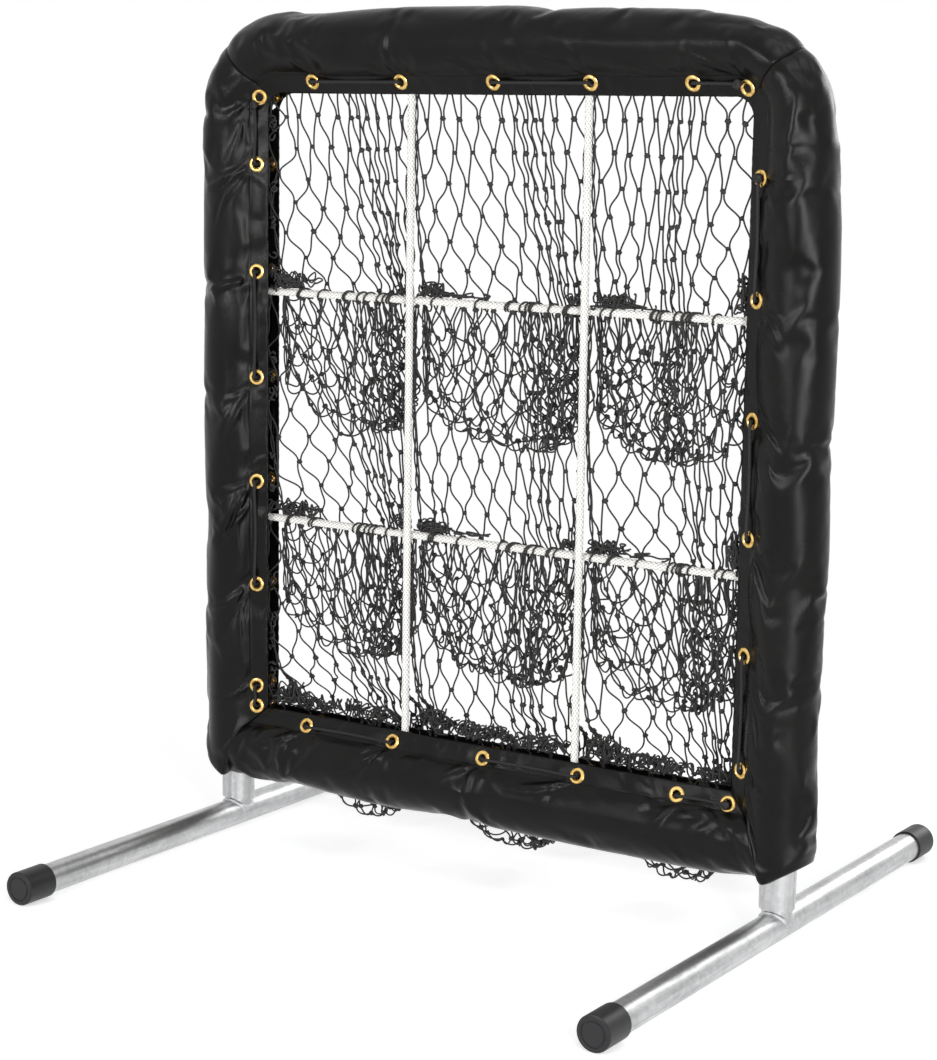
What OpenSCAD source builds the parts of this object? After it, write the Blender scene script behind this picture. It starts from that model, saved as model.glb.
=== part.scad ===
// Nine-pocket pitching target: a padded pipe frame with a rope grid and nine hanging net pockets,
// standing on two pull-off pipe feet. Millimetres, +Z up, origin on the floor under the middle.

/* [Frame] */
// Distance between the axes of the two upright posts
frame_width = 773; // [700:1:900]
// Height of the top rail's axis above the floor
top_height = 993; // [940:1:1080]
// Height of the bottom rail's axis above the floor
bottom_rail_height = 111; // [105:1:125]
// Bend radius of the two top corners, on the pipe's axis
bend_radius = 80; // [76:1:100]
// Outer diameter of the bent frame pipe
post_od = 41.3; // [40:0.1:43]
// Outer diameter of the straight bottom rail
rail_od = 34.9; // [30:0.1:37]
// Wall of every pipe
pipe_wall = 1.65; // [1.2:0.05:2.1]

/* [Feet] */
// Length of a foot over its two caps
foot_length = 810; // [700:1:950]
// Outer diameter of the foot pipe and of its stub
foot_od = 34.9; // [32:0.1:36]
// How far a stub reaches up inside its post
stub_reach = 108; // [60:1:150]
// Length of an end cap
cap_length = 42; // [30:1:60]
// Wall of an end cap's sleeve
cap_wall = 2.35; // [1.5:0.05:4]
// Thickness of an end cap's face
cap_face = 4; // [3:0.1:8]
// Leg of the weld beads on the feet
weld_leg = 3; // [2:0.1:3.4]
// Leg of the weld beads on the bottom rail
rail_leg = 2.2; // [1.6:0.1:2.4]

/* [Padding] */
// Outer radius of the vinyl sleeve
cover_r = 39.5; // [38:0.1:44]
// Thickness of the vinyl
vinyl = 1; // [0.6:0.1:1.4]
// Distance from the pipe's axis to the laced edge of the sleeve
flap_reach = 57; // [54:0.5:60]
// Height of the slanted fold across each lower outer corner of the padding
fold_rise = 27; // [18:1:32]
// Width of that fold
fold_run = 50; // [36:1:56]

/* [Lacing] */
// Distance from the pipe's axis to the row of grommets
grommet_reach = 43.3; // [42.8:0.1:45]
// Outer radius of a grommet
grommet_r = 9.6; // [8:0.1:9.8]
// Radius of a grommet's hole
grommet_hole_r = 4.9; // [4:0.1:5.4]
// Height of the lowest evenly spaced grommet on each post
post_grommet_start = 195; // [190:1:200]
// Spacing of the grommets along the posts
post_grommet_pitch = 131; // [126:1:133]
// Spacing of the grommets along the top
top_grommet_pitch = 129; // [120:1:132]
// Spacing of the grommets along the bottom
bottom_grommet_pitch = 132; // [124:1:134]
// Diameter of the black lacing cord
lacing_d = 4; // [3:0.1:4.6]

/* [Ropes] */
// Diameter of the white ropes
rope_d = 9.5; // [8:0.1:9.6]
// Distance of each upright rope from the middle
upright_rope_x = 121; // [110:1:123]
// Height of the upper cross rope
upper_rope_height = 694; // [680:1:705]
// Height of the lower cross rope
lower_rope_height = 410; // [400:1:425]

/* [Pockets] */
// Thickness of the net twine
twine = 2.4; // [2:0.1:2.8]
// How far a bag hangs below its cross rope
bag_drop = 172; // [150:1:180]
// How far back a bag reaches
bag_depth = 62; // [58:1:75]
// How far back the bags of the bottom row reach
low_bag_depth = 90; // [86:1:100]
// Height of the bottom row's bags above the floor
bag_floor_gap = 20; // [8:1:40]
// Diamonds across one pocket
net_columns = 4; // [3:1:4]

/* [Hidden] */

// Gap left wherever one piece seats on another
seat_gap = 0.3;
smooth = 96;

post_x = frame_width / 2;
post_r = post_od / 2;
post_bore = post_r - pipe_wall;
rail_r = rail_od / 2;
foot_r = foot_od / 2;
cap_r = foot_r + cap_wall;
foot_axis = cap_r;
post_end = foot_axis + foot_r + weld_leg + seat_gap;
bend_x = post_x - bend_radius;
bend_z = top_height - bend_radius;

rope_r = rope_d / 2;
eye_r = rope_r + 0.25;
// Upright ropes lie in front of the cross ropes
rope_shift = rope_r + seat_gap / 2;
lacing_r = lacing_d / 2;
twine_r = twine / 2;

steel = [0.78, 0.79, 0.80];
black_vinyl = [0.09, 0.09, 0.10];
brass = [0.80, 0.62, 0.25];
foam_grey = [0.45, 0.48, 0.52];
rope_white = [0.93, 0.92, 0.88];
cord_black = [0.06, 0.06, 0.06];

// ---- Pipe frame ----

module post_pair(r, low, high) {
    for (side = [-1, 1])
        translate([side * post_x, 0, low]) cylinder(r = r, h = high - low, $fn = smooth);
}

module corner_bends(r) {
    for (side = [0, 1])
        mirror([side, 0, 0])
            translate([-bend_x, 0, bend_z])
                rotate([90, 0, 0])
                    rotate_extrude(angle = 90, start = 90, $fn = smooth)
                        translate([bend_radius, 0]) circle(r = r, $fn = smooth);
}

module hoop_solid(r, low) {
    post_pair(r, low, bend_z);
    corner_bends(r);
    translate([-bend_x, 0, top_height])
        rotate([0, 90, 0]) cylinder(r = r, h = 2 * bend_x, $fn = smooth);
}

// One pipe bent into an upside-down U
module frame_hoop() {
    color(steel)
        difference() {
            hoop_solid(post_r, post_end);
            hoop_solid(post_bore, post_end - 1);
        }
}

module rail_solid(r) {
    translate([-post_x, 0, bottom_rail_height])
        rotate([0, 90, 0]) cylinder(r = r, h = 2 * post_x, $fn = smooth);
}

// Straight pipe coped to fit between the posts
module bottom_rail() {
    color(steel)
        difference() {
            rail_solid(rail_r);
            rail_solid(rail_r - pipe_wall);
            post_pair(post_r, post_end, bottom_rail_height + post_od);
        }
}

// Bead of weld round each end of the bottom rail
module rail_welds() {
    color(steel)
        for (side = [-1, 1])
            difference() {
                intersection() {
                    translate([side * post_x, 0, bottom_rail_height - post_od])
                        cylinder(r = post_r + rail_leg, h = 2 * post_od, $fn = smooth);
                    translate([side * (post_x - post_od), 0, bottom_rail_height])
                        rotate([0, 90, 0])
                            cylinder(r = rail_r + rail_leg, h = 2 * post_od, center = true, $fn = smooth);
                }
                translate([side * post_x, 0, bottom_rail_height - 2 * post_od])
                    cylinder(r = post_r, h = 4 * post_od, $fn = smooth);
                translate([side * (post_x - post_od), 0, bottom_rail_height])
                    rotate([0, 90, 0]) cylinder(r = rail_r, h = 4 * post_od, center = true, $fn = smooth);
            }
}

// ---- Foam and vinyl padding ----

foam_r = cover_r - vinyl - seat_gap;
// Half of the slot that runs along the inner side, wide enough for both layers of rope
slot_half = rope_shift + rope_r + seat_gap;
flap_root = (cover_r - 0.65) * [cos(32), sin(32)];
flap_slope = atan((flap_root.y - slot_half - vinyl) / (flap_reach - flap_root.x));
flap_out = [sin(flap_slope), cos(flap_slope)];
flap_along = [cos(flap_slope), -sin(flap_slope)];
flap_length = (flap_reach - flap_root.x) / cos(flap_slope);

// Front-to-back distance of the flap's outer face at a distance u from the pipe's axis
function flap_face(u) = flap_root.y - (u - flap_root.x) * tan(flap_slope);

// Sections across the padding: u towards the opening, y front to back. depth 0 is the
// outside of the vinyl and depth 1 its inside.
module tube_section(depth) {
    circle(r = cover_r - depth * vinyl, $fn = smooth);
}

module flap_section(depth) {
    root = flap_root - depth * vinyl * flap_out;
    edge = root + (flap_length + depth * 10) * flap_along;
    polygon([root, edge, [edge.x, -edge.y], [root.x, -root.y]]);
}

module foam_section(bore) {
    difference() {
        circle(r = foam_r, $fn = smooth);
        circle(r = bore, $fn = smooth);
        translate([0, -slot_half]) square([foam_r + 1, 2 * slot_half]);
    }
}

module along_post(low, high) {
    translate([-post_x, 0, low]) linear_extrude(high - low) children();
}

module along_top() {
    translate([-bend_x, 0, top_height]) rotate([0, 90, 0]) linear_extrude(2 * bend_x) children();
}

module along_bottom(half_length) {
    translate([half_length, 0, bottom_rail_height])
        rotate([0, -90, 0]) linear_extrude(2 * half_length) children();
}

module around_corner() {
    translate([-bend_x, 0, bend_z])
        rotate([90, 0, 0])
            rotate_extrude(angle = 90, start = 90, $fn = smooth)
                translate([bend_radius, 0]) mirror([1, 0]) children();
}

// Wedge of space that belongs to one side of the frame, cut at 45 degrees through the corners
module side_space(side) {
    reach = 190;
    low = [-post_x, bottom_rail_height];
    high = [-post_x, top_height];
    outline = side == "left"
        ? [low - [reach, reach], low + [reach, reach], high + [reach, -reach], high + [-reach, reach]]
        : side == "top"
        ? [high + [reach, -reach], [-high.x - reach, high.y - reach],
           [-high.x + reach, high.y + reach], high + [-reach, reach]]
        : [low - [reach, reach], [-low.x + reach, low.y - reach],
           [-low.x - reach, low.y + reach], low + [reach, reach]];
    rotate([90, 0, 0]) translate([0, 0, -100]) linear_extrude(200) polygon(outline);
}

// Everything inside the slanted folds of the two lower corners, cut back by an inset
module fold_space(inset) {
    corner = [post_x + cover_r, bottom_rail_height - cover_r];
    run = fold_run + inset * norm([fold_run, fold_rise]) / fold_rise;
    rise = fold_rise + inset * norm([fold_run, fold_rise]) / fold_run;
    rotate([90, 0, 0])
        translate([0, 0, -100])
            linear_extrude(200)
                polygon([
                    [run - corner.x, corner.y], [run - corner.x, corner.y - 1],
                    [corner.x - run, corner.y - 1], [corner.x - run, corner.y],
                    [corner.x, corner.y + rise], [corner.x + 1, top_height + 100],
                    [-corner.x - 1, top_height + 100], [-corner.x, corner.y + rise]
                ]);
}

module along_side(side) {
    if (side == "left") {
        along_post(bottom_rail_height - 60, bend_z) children();
        around_corner() children();
    }
    if (side == "top") {
        along_top() children();
        around_corner() children();
        mirror([1, 0, 0]) around_corner() children();
    }
    if (side == "bottom") along_bottom(post_x + 60) children();
}

module sleeve_run(side, depth) {
    along_side(side) tube_section(depth);
    along_side(side) flap_section(depth);
}

// Vinyl sleeve of one side, open along its laced edge
module sleeve(side) {
    difference() {
        intersection() {
            sleeve_run(side, 0);
            side_space(side);
            fold_space(0);
        }
        intersection() {
            sleeve_run(side, 1);
            fold_space(vinyl);
        }
        post_pair(post_r + seat_gap, post_end, bottom_rail_height - foam_r + 20);
    }
}

module left_cover() {
    color(black_vinyl) pierce("left", left_spots) sleeve("left");
}

module right_cover() {
    color(black_vinyl) pierce("right", right_spots) mirror([1, 0, 0]) sleeve("left");
}

module top_cover() {
    color(black_vinyl) pierce("top", top_spots) sleeve("top");
}

module bottom_cover() {
    color(black_vinyl) pierce("bottom", bottom_spots) sleeve("bottom");
}

module post_foam() {
    difference() {
        intersection() {
            along_post(bottom_rail_height - foam_r, bend_z) foam_section(post_r + seat_gap);
            fold_space(vinyl + seat_gap);
        }
        translate([-post_x, 0, bottom_rail_height])
            rotate([0, 90, 0])
                cylinder(r = rail_r + rail_leg + seat_gap, h = cover_r + 1, $fn = smooth);
        for (height = [upper_rope_height, lower_rope_height])
            translate([-post_x, 0, height]) eye_room(post_r);
        // Lower end rounded to lie inside the bottom sleeve
        difference() {
            translate([-post_x - cover_r, -cover_r, bottom_rail_height - cover_r - 1])
                cube([2 * cover_r, 2 * cover_r, cover_r + 1]);
            translate([-post_x, 0, bottom_rail_height])
                rotate([0, 90, 0]) cylinder(r = foam_r, h = 4 * cover_r, center = true, $fn = smooth);
        }
    }
}

module left_foam() {
    color(foam_grey) post_foam();
}

module right_foam() {
    color(foam_grey) mirror([1, 0, 0]) post_foam();
}

// The foam stops short of the right bend, where the vinyl is drawn in over the bare pipe
module top_foam() {
    color(foam_grey)
        difference() {
            union() {
                along_top() foam_section(post_r + seat_gap);
                around_corner() foam_section(post_r + seat_gap);
            }
            for (side = [-1, 1])
                translate([side * upright_rope_x, 0, top_height]) rotate([0, 90, 0]) eye_room(post_r);
        }
}

module bottom_foam() {
    color(foam_grey)
        difference() {
            along_bottom(post_x - foam_r - 1) foam_section(rail_r + seat_gap);
            for (side = [-1, 1])
                translate([side * upright_rope_x, 0, bottom_rail_height])
                    rotate([0, 90, 0]) eye_room(rail_r);
        }
}

// ---- Grommets ----

roll_height = 2;
// Room that keeps a corner grommet clear of the mitre
corner_clear = (grommet_r + seat_gap) * sqrt(2);
grommet_turn = bend_radius - grommet_reach;
corner_angle = 45 - asin((grommet_r + seat_gap) / grommet_turn);
corner_arc = grommet_turn * corner_angle * PI / 180;

// Grommet positions along each side, measured from the floor or from the middle
left_spots = concat(
    [bottom_rail_height + grommet_reach + corner_clear],
    [for (k = [0:5]) post_grommet_start + k * post_grommet_pitch],
    [bend_z + corner_arc]
);
right_spots = [for (k = [0:5]) post_grommet_start + k * post_grommet_pitch];
top_spots = concat([for (k = [-2:2]) k * top_grommet_pitch], [bend_x + corner_arc]);
bottom_spots = concat(
    [for (k = [-2:2]) k * bottom_grommet_pitch],
    [post_x - grommet_reach - corner_clear]
);

// Angle turned round a top corner at distance s along a side
function turned(s, start) = max(0, s - start) / grommet_turn * 180 / PI;

// Point [x, z] and direction into the opening [dx, dz], at distance s along a side and
// distance u from the pipe's axis
function edge_place(side, s, u) =
    side == "left" ? left_place(s, u)
    : side == "right" ? let (p = left_place(s, u)) [-p[0], p[1], -p[2], p[3]]
    : side == "top"
    ? let (a = turned(s, bend_x), r = bend_radius - u)
        a > 0 ? [bend_x + r * sin(a), bend_z + r * cos(a), -sin(a), -cos(a)]
              : [s, top_height - u, 0, -1]
    : [s, bottom_rail_height + u, 0, 1];

function left_place(s, u) =
    let (a = turned(s, bend_z), r = bend_radius - u)
        a > 0 ? [-bend_x - r * cos(a), bend_z + r * sin(a), cos(a), -sin(a)]
              : [-post_x + u, s, 1, 0];

// Puts its children on the outer face of the front (-1) or rear (1) flap, +Z outwards
module on_flap(side, s, face) {
    place = edge_place(side, s, grommet_reach);
    turn = atan2(place[3], place[2]);
    translate([place[0], face * flap_face(grommet_reach), place[1]])
        rotate([0, -turn, 0])
            rotate([face * -90, 0, 0])
                rotate([0, flap_slope, 0])
                    children();
}

module pierce(side, spots) {
    difference() {
        children();
        for (s = spots, face = [-1, 1])
            on_flap(side, s, face)
                translate([0, 0, -3 * vinyl])
                    cylinder(r = grommet_hole_r + 1, h = 5 * vinyl, $fn = smooth);
    }
}

// Rolled brass eyelet and its washer, clamped through the vinyl
module eyelet(raise) {
    roll = [[0, 0.05], [1, 0.05], [1, 0.35], [0.85, 0.7], [0.58, 0.95], [0.3, 0.95], [0.1, 0.65], [0, 0.25]];
    width = grommet_r - grommet_hole_r;
    rotate_extrude($fn = smooth) {
        translate([grommet_hole_r, raise]) polygon([for (p = roll) [p.x * width, p.y * roll_height]]);
        translate([grommet_hole_r, -vinyl - 1.9]) square([0.6, vinyl + 2.5 + raise]);
        translate([grommet_hole_r, -vinyl - 0.9]) square([width * 0.92, 0.85]);
    }
}
module grommets(side, spots) {
    color(brass)
        for (s = spots, face = [-1, 1])
            on_flap(side, s, face)
                eyelet(s > bend_x && side == "top" || s > bend_z && side == "left" ? 0.6 : 0);
}

module left_grommets() {
    grommets("left", left_spots);
}

module right_grommets() {
    grommets("right", right_spots);
}

module top_grommets() {
    grommets("top", top_spots);
}

module bottom_grommets() {
    grommets("bottom", bottom_spots);
}

// ---- Lacing cord ----

// Heights of the cord's axis above the middle plane: over a grommet, on the vinyl, at a knot
cord_over = flap_face(grommet_reach) + (roll_height + lacing_r + seat_gap) / cos(flap_slope) + 0.6;
cord_rest = flap_face(grommet_reach) + (lacing_r + seat_gap) / cos(flap_slope);
cord_neck = cord_rest - lacing_r - 3;
knot_r = grommet_hole_r + 0.7;

// One stitch from spot a to spot b on the front (face -1) or rear (face 1), as [s, y, radius]
function stitch(a, b, face) = [
    [a, face * cord_neck, lacing_r],
    [a + 1, face * (cord_over - 2.5), lacing_r],
    [a + 4.2, face * cord_over, lacing_r],
    [(a + b) / 2, face * cord_rest, lacing_r],
    [b - 4.2, face * cord_over, lacing_r],
    [b - 1, face * (cord_over - 2.5), lacing_r],
    [b, face * cord_neck, lacing_r],
];

// Knot behind the flap at spot s, from its tip to the cord
function knot(s, face) = [
    [s, face * (cord_over + 5.6), knot_r * 0.3],
    [s, face * (cord_over + 4.4), knot_r * 0.85],
    [s, face * (cord_over + 2), knot_r],
    [s, face * (cord_over - 0.2), knot_r * 0.78],
    [s, face * (cord_over - 1.5), lacing_r],
];

function reversed(list) = [for (i = [len(list) - 1:-1:0]) list[i]];

// The whole cord: a knot at the rear, stitches that alternate front and rear, and a knot
function cord_route(spots) =
    let (last = len(spots) - 1)
        concat(
            knot(spots[0], 1),
            [for (k = [0:last - 1], p = stitch(spots[k], spots[k + 1], k % 2 == 0 ? -1 : 1)) p],
            reversed(knot(spots[last], last % 2 == 0 ? -1 : 1))
        );

// Eight-sided tube along a cord route. Its rings stand square to the route, and every
// route lies in a surface at one distance from the pipe's axis.
module cord_tube(side, spots) {
    sides = 8;
    route = cord_route(spots);
    count = len(route);
    points = [
        for (i = [0:count - 1])
            let (
                p = route[i],
                before = route[max(0, i - 1)],
                after = route[min(count - 1, i + 1)],
                place = edge_place(side, p[0], grommet_reach),
                inward = [place[2], 0, place[3]],
                step = [after[0] - before[0], after[1] - before[1]] / norm([after[0] - before[0], after[1] - before[1]]),
                run = cross([0, 1, 0], inward) * travel(side),
                across = step[0] * [0, 1, 0] - step[1] * run
            )
            for (k = [0:sides - 1])
                [place[0], p[1], place[1]]
                    + p[2] * (cos(k * 360 / sides) * inward + sin(k * 360 / sides) * across)
    ];
    walls = [
        for (i = [0:count - 2], k = [0:sides - 1])
            let (a = i * sides + k, b = i * sides + (k + 1) % sides)
                each [[a, b, b + sides], [a, b + sides, a + sides]]
    ];
    start_cap = [for (k = [1:sides - 2]) [0, k + 1, k]];
    base = (count - 1) * sides;
    end_cap = [for (k = [1:sides - 2]) [base, base + k, base + k + 1]];
    turned_out = travel(side) > 0 ? 0 : 1;
    faces = concat(walls, start_cap, end_cap);
    color(cord_black)
        polyhedron(points, turned_out == 0 ? faces : [for (f = faces) [f[0], f[2], f[1]]]);
}

// Whether s runs with (1) or against (-1) the direction that y, then inward, turn to
function travel(side) = side == "right" || side == "bottom" ? 1 : -1;

module left_lacing() {
    cord_tube("left", left_spots);
}

module right_lacing() {
    cord_tube("right", right_spots);
}

module top_lacing() {
    cord_tube("top", top_spots);
}

module bottom_lacing() {
    cord_tube("bottom", bottom_spots);
}

// ---- Rope grid ----

// Room in the foam for the eye of a rope round a pipe of radius r
module eye_room(r) {
    difference() {
        translate([0, 0, -eye_r - seat_gap])
            cylinder(r = r + 2 * eye_r + 2 * seat_gap, h = 2 * (eye_r + seat_gap), $fn = smooth);
        translate([0, 0, -eye_r - seat_gap - 1]) cylinder(r = r, h = 2 * eye_r + 4, $fn = smooth);
    }
}

// Spliced eye round a pipe of radius r, in the XY plane
module rope_eye(r) {
    rotate_extrude($fn = smooth) translate([r + seat_gap + eye_r, 0]) circle(r = eye_r, $fn = smooth);
}

// How far from a pipe's axis the rope enters its eye
function eye_entry(r) = sqrt(pow(r + seat_gap + eye_r, 2) - pow(rope_shift, 2));

module upright_rope(x) {
    low = bottom_rail_height + eye_entry(rail_r);
    high = top_height - eye_entry(post_r);
    color(rope_white) {
        translate([x, -rope_shift, low]) cylinder(r = rope_r, h = high - low, $fn = smooth);
        translate([x, 0, bottom_rail_height]) rotate([0, 90, 0]) rope_eye(rail_r);
        translate([x, 0, top_height]) rotate([0, 90, 0]) rope_eye(post_r);
    }
}

module cross_rope(z) {
    half = post_x - eye_entry(post_r);
    color(rope_white) {
        translate([-half, rope_shift, z]) rotate([0, 90, 0]) cylinder(r = rope_r, h = 2 * half, $fn = smooth);
        for (side = [-1, 1]) translate([side * post_x, 0, z]) rope_eye(post_r);
    }
}

module left_upright_rope() {
    upright_rope(-upright_rope_x);
}

module right_upright_rope() {
    upright_rope(upright_rope_x);
}

module upper_cross_rope() {
    cross_rope(upper_rope_height);
}

module lower_cross_rope() {
    cross_rope(lower_rope_height);
}

// ---- Net pockets ----

net_rows = 12;
rope_seat = rope_r + seat_gap + twine_r;
// Net edges run just inside the lacing cord that holds them
laced_reach = grommet_reach + lacing_r + seat_gap + twine_r;
outer_side = post_x - laced_reach;
rope_side = rope_seat * sin(45);
// Bags hang clear of the flap edges and of each other
bag_side = post_x - flap_reach - 7;
bag_gap = 9;

// Top of each row, and the line that its bag hangs from
row_top = [top_height - laced_reach, upper_rope_height - rope_seat, lower_rope_height - rope_seat];
row_rope = [upper_rope_height, lower_rope_height, bottom_rail_height + flap_reach];
flap_top = row_rope[2];
pad_back = cover_r + 10.5;
// The lowest bags are held at the rear flap of the bottom sleeve, just above its grommets
lip_reach = grommet_reach + grommet_r + twine + seat_gap;
low_lip = [flap_face(lip_reach - twine_r) + 2 * seat_gap / cos(flap_slope), bottom_rail_height + lip_reach];

// Side view of a pocket down its middle, [y, z] for each row of knots: the sheet behind the
// opening, the back and bottom of the bag, and its front up to the rope
function middle_line(row) =
    let (top = row_top[row], rope = row_rope[row], sheet = rope + 12 - top, low = rope - bag_floor_gap,
         y0 = row == 0 ? 0 : rope_shift, d = row < 2 ? bag_depth : low_bag_depth)
    concat(
        [[y0, top], [8, top + sheet / 4], [12, top + sheet / 2], [row < 2 ? 25 : 24, top + sheet * 3 / 4],
         [d - (row < 2 ? 2 : 10), top + sheet]],
        row < 2
            ? [[d, rope - bag_drop * 0.33], [d, rope - bag_drop * 0.66], [d - 6, rope - bag_drop * 0.9],
               [d / 2 + 11, rope - bag_drop], [28, rope - bag_drop * 0.9], [23, rope - bag_drop * 0.66],
               [17, rope - bag_drop * 0.33], [rope_shift + rope_seat, rope]]
            : [[d - 2, rope - low * 0.19], [d, rope - low * 0.56], [d - 4, rope - low * 0.87],
               [(d + pad_back) / 2, rope - low], [pad_back + 1, rope - low * 0.8], [pad_back, rope - low * 0.34],
               [34, rope - 5], low_lip]
    );

// The same for a side edge, where the sheet is held by the rope or the lacing and the bag
// is drawn up to a short fold
function side_line(row, y_side) =
    let (top = row_top[row], rope = row_rope[row], y0 = row == 0 ? 0 : rope_shift)
    concat(
        [[y0, top], [y_side, top + (rope - top) * 0.22], [y_side, top + (rope - top) * 0.45]],
        row < 2
            ? [[7, rope + 60], [12.5, rope + 9], [17, rope - 8], [19, rope - 24], [18.5, rope - 36],
               [16, rope - 42], [13.5, rope - 36], [12.8, rope - 24], [12.2, rope - 10],
               [rope_shift + rope_seat, rope]]
            : [[7, rope + 60], [14, rope + 36], [26, rope + 31], [37, rope + 20], [45, rope + 7],
               [46, rope - 6], [40, rope - 13], [33, rope - 14], [25, rope - 10], low_lip]
    );

// How far a net edge lies from the middle, at each row of knots, for an outer or a rope side
function edge_x(outer, j) =
    outer ? (j < 3 ? outer_side : j == 3 ? (outer_side + bag_side) / 2 : bag_side)
          : rope_side + (j < 3 ? 0 : j == 3 ? 1.5 : bag_gap - rope_side);

// Left and right edge of a column at row of knots j
function column_edges(column, j) =
    column == 0 ? [-edge_x(true, j), -upright_rope_x - edge_x(false, j)]
    : column == 1 ? [-upright_rope_x + edge_x(false, j), upright_rope_x - edge_x(false, j)]
    : [upright_rope_x + edge_x(false, j), edge_x(true, j)];

// Share of the middle line's shape at a place a from 0 to 1 across the pocket
function fullness(a) = 1 - pow(abs(2 * a - 1), 3);

// Pulls a point in a rounded top corner back inside the lacing
function round_corner(p) =
    let (dx = abs(p.x) - bend_x, dz = p.z - bend_z, far = norm([dx, dz]), room = bend_radius - laced_reach)
        dx > 0 && dz > 0 && far > room
            ? [sign(p.x) * (bend_x + dx * room / far), p.y, bend_z + dz * room / far]
            : p;

// Knot i across and j down a pocket
function knot_point(column, row, i, j) =
    let (
        a = i / (2 * net_columns),
        ends = column_edges(column, j),
        outer = column == 0 ? 1 - a : column == 2 ? a : 0,
        y_side = outer > 0.5 ? 0 : rope_seat * sin(45) - rope_shift,
        side = side_line(row, y_side)[j],
        middle = middle_line(row)[j],
        s = fullness(a),
        yz = side + (middle - side) * s
    )
    round_corner([ends[0] + (ends[1] - ends[0]) * a, yz[0], yz[1]]);

// A pocket is one net of diamonds. Knots lie where i + j is even, and each gap, where it is
// odd, is framed by the knots round it.
module pocket(column, row) {
    wide = 2 * net_columns;
    down = net_rows + 1;
    grid = [for (i = [0:wide]) [for (j = [0:net_rows]) knot_point(column, row, i, j)]];
    normals = [for (i = [0:wide]) [for (j = [0:net_rows])
        let (
            across = grid[min(wide, i + 1)][j] - grid[max(0, i - 1)][j],
            along = grid[i][min(net_rows, j + 1)] - grid[i][max(0, j - 1)],
            n = cross(along, across)
        )
        n / norm(n)]];
    // Both faces of every knot: front ones first, then rear ones
    knots = [for (side = [1, -1], i = [0:wide], j = [0:net_rows])
        if ((i + j) % 2 == 0) grid[i][j] + side * twine_r * normals[i][j]];
    half = (wide * down + net_rows) / 2 + 1;
    around = [[0, -1], [1, 0], [0, 1], [-1, 0]];
    gaps = [for (i = [0:wide], j = [0:net_rows])
        if ((i + j) % 2 == 1)
            [for (d = around)
                if (i + d.x >= 0 && i + d.x <= wide && j + d.y >= 0 && j + d.y <= net_rows)
                    [i + d.x, j + d.y]]];
    starts = [for (g = 0, at = 0; g < len(gaps); at = at + len(gaps[g]), g = g + 1) at];
    holes = [for (side = [1, -1], gap = gaps)
        let (
            corners = [for (c = gap) grid[c.x][c.y]],
            n = len(corners),
            middle = sum(corners) / n,
            spans = [for (k = [0:n - 1])
                let (a = corners[k] - middle, b = corners[(k + 1) % n] - middle) norm(cross(a, b)) / norm(b - a)],
            shrink = 1 - min(0.45, twine_r / min(spans))
        )
        for (k = [0:n - 1])
            middle + (corners[k] - middle) * shrink + side * twine_r * normals[gap[k].x][gap[k].y]];
    total = len(holes) / 2;
    function knot_id(c, rear) = (c.x * down + c.y) / 2 + rear * half;
    function hole_id(g, k, rear) = 2 * half + starts[g] + k + rear * total;
    faces = [
        for (g = [0:len(gaps) - 1])
            let (gap = gaps[g], n = len(gap))
            for (k = [0:n - 1])
                let (
                    m = (k + 1) % n,
                    a = knot_id(gap[k], 0), b = knot_id(gap[m], 0),
                    c = hole_id(g, k, 0), d = hole_id(g, m, 0),
                    ar = knot_id(gap[k], 1), br = knot_id(gap[m], 1),
                    cr = hole_id(g, k, 1), dr = hole_id(g, m, 1),
                    rim = gap[k].x == gap[m].x || gap[k].y == gap[m].y
                )
                each concat(
                    [[a, b, d], [a, d, c], [ar, dr, br], [ar, cr, dr], [c, d, dr], [c, dr, cr]],
                    rim ? [[a, ar, br], [a, br, b]] : []
                )
    ];
    color(cord_black) polyhedron(concat(knots, holes), faces);
}

function sum(list) = [for (i = 0, t = list[0]; i < len(list); i = i + 1, t = i < len(list) ? t + list[i] : t) t][len(list) - 1];

module pocket_top_left() {
    pocket(0, 0);
}

module pocket_top_middle() {
    pocket(1, 0);
}

module pocket_top_right() {
    pocket(2, 0);
}

module pocket_centre_left() {
    pocket(0, 1);
}

module pocket_centre_middle() {
    pocket(1, 1);
}

module pocket_centre_right() {
    pocket(2, 1);
}

module pocket_bottom_left() {
    pocket(0, 2);
}

module pocket_bottom_middle() {
    pocket(1, 2);
}

module pocket_bottom_right() {
    pocket(2, 2);
}

// ---- Pull-off feet ----

// The pipe, stub, bead and caps of one foot are drawn under the left post and mirrored
module foot_tube() {
    color(steel)
        translate([-post_x, -foot_length / 2 + cap_face, foot_axis])
            rotate([-90, 0, 0])
                difference() {
                    cylinder(r = foot_r, h = foot_length - 2 * cap_face, $fn = smooth);
                    translate([0, 0, -1])
                        cylinder(r = foot_r - pipe_wall, h = foot_length, $fn = smooth);
                }
}

module foot_solid(r) {
    translate([-post_x, -60, foot_axis]) rotate([-90, 0, 0]) cylinder(r = r, h = 120, $fn = smooth);
}

// Short pipe coped on to the foot, which the post slides over
module stub() {
    color(steel)
        difference() {
            translate([-post_x, 0, foot_axis])
                cylinder(r = foot_r, h = post_end - foot_axis + stub_reach, $fn = smooth);
            translate([-post_x, 0, foot_axis - 1])
                cylinder(r = foot_r - pipe_wall, h = post_end + stub_reach, $fn = smooth);
            foot_solid(foot_r + 0.05);
        }
}

// Bead of weld round the stub, which the post's end rests on
module foot_weld() {
    color(steel)
        difference() {
            intersection() {
                translate([-post_x, 0, foot_axis + 1])
                    cylinder(r = foot_r + weld_leg, h = 2 * foot_r, $fn = smooth);
                foot_solid(foot_r + weld_leg - 0.5);
            }
            translate([-post_x, 0, foot_axis]) cylinder(r = foot_r, h = 3 * foot_r, $fn = smooth);
            foot_solid(foot_r + 0.05);
        }
}

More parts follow.
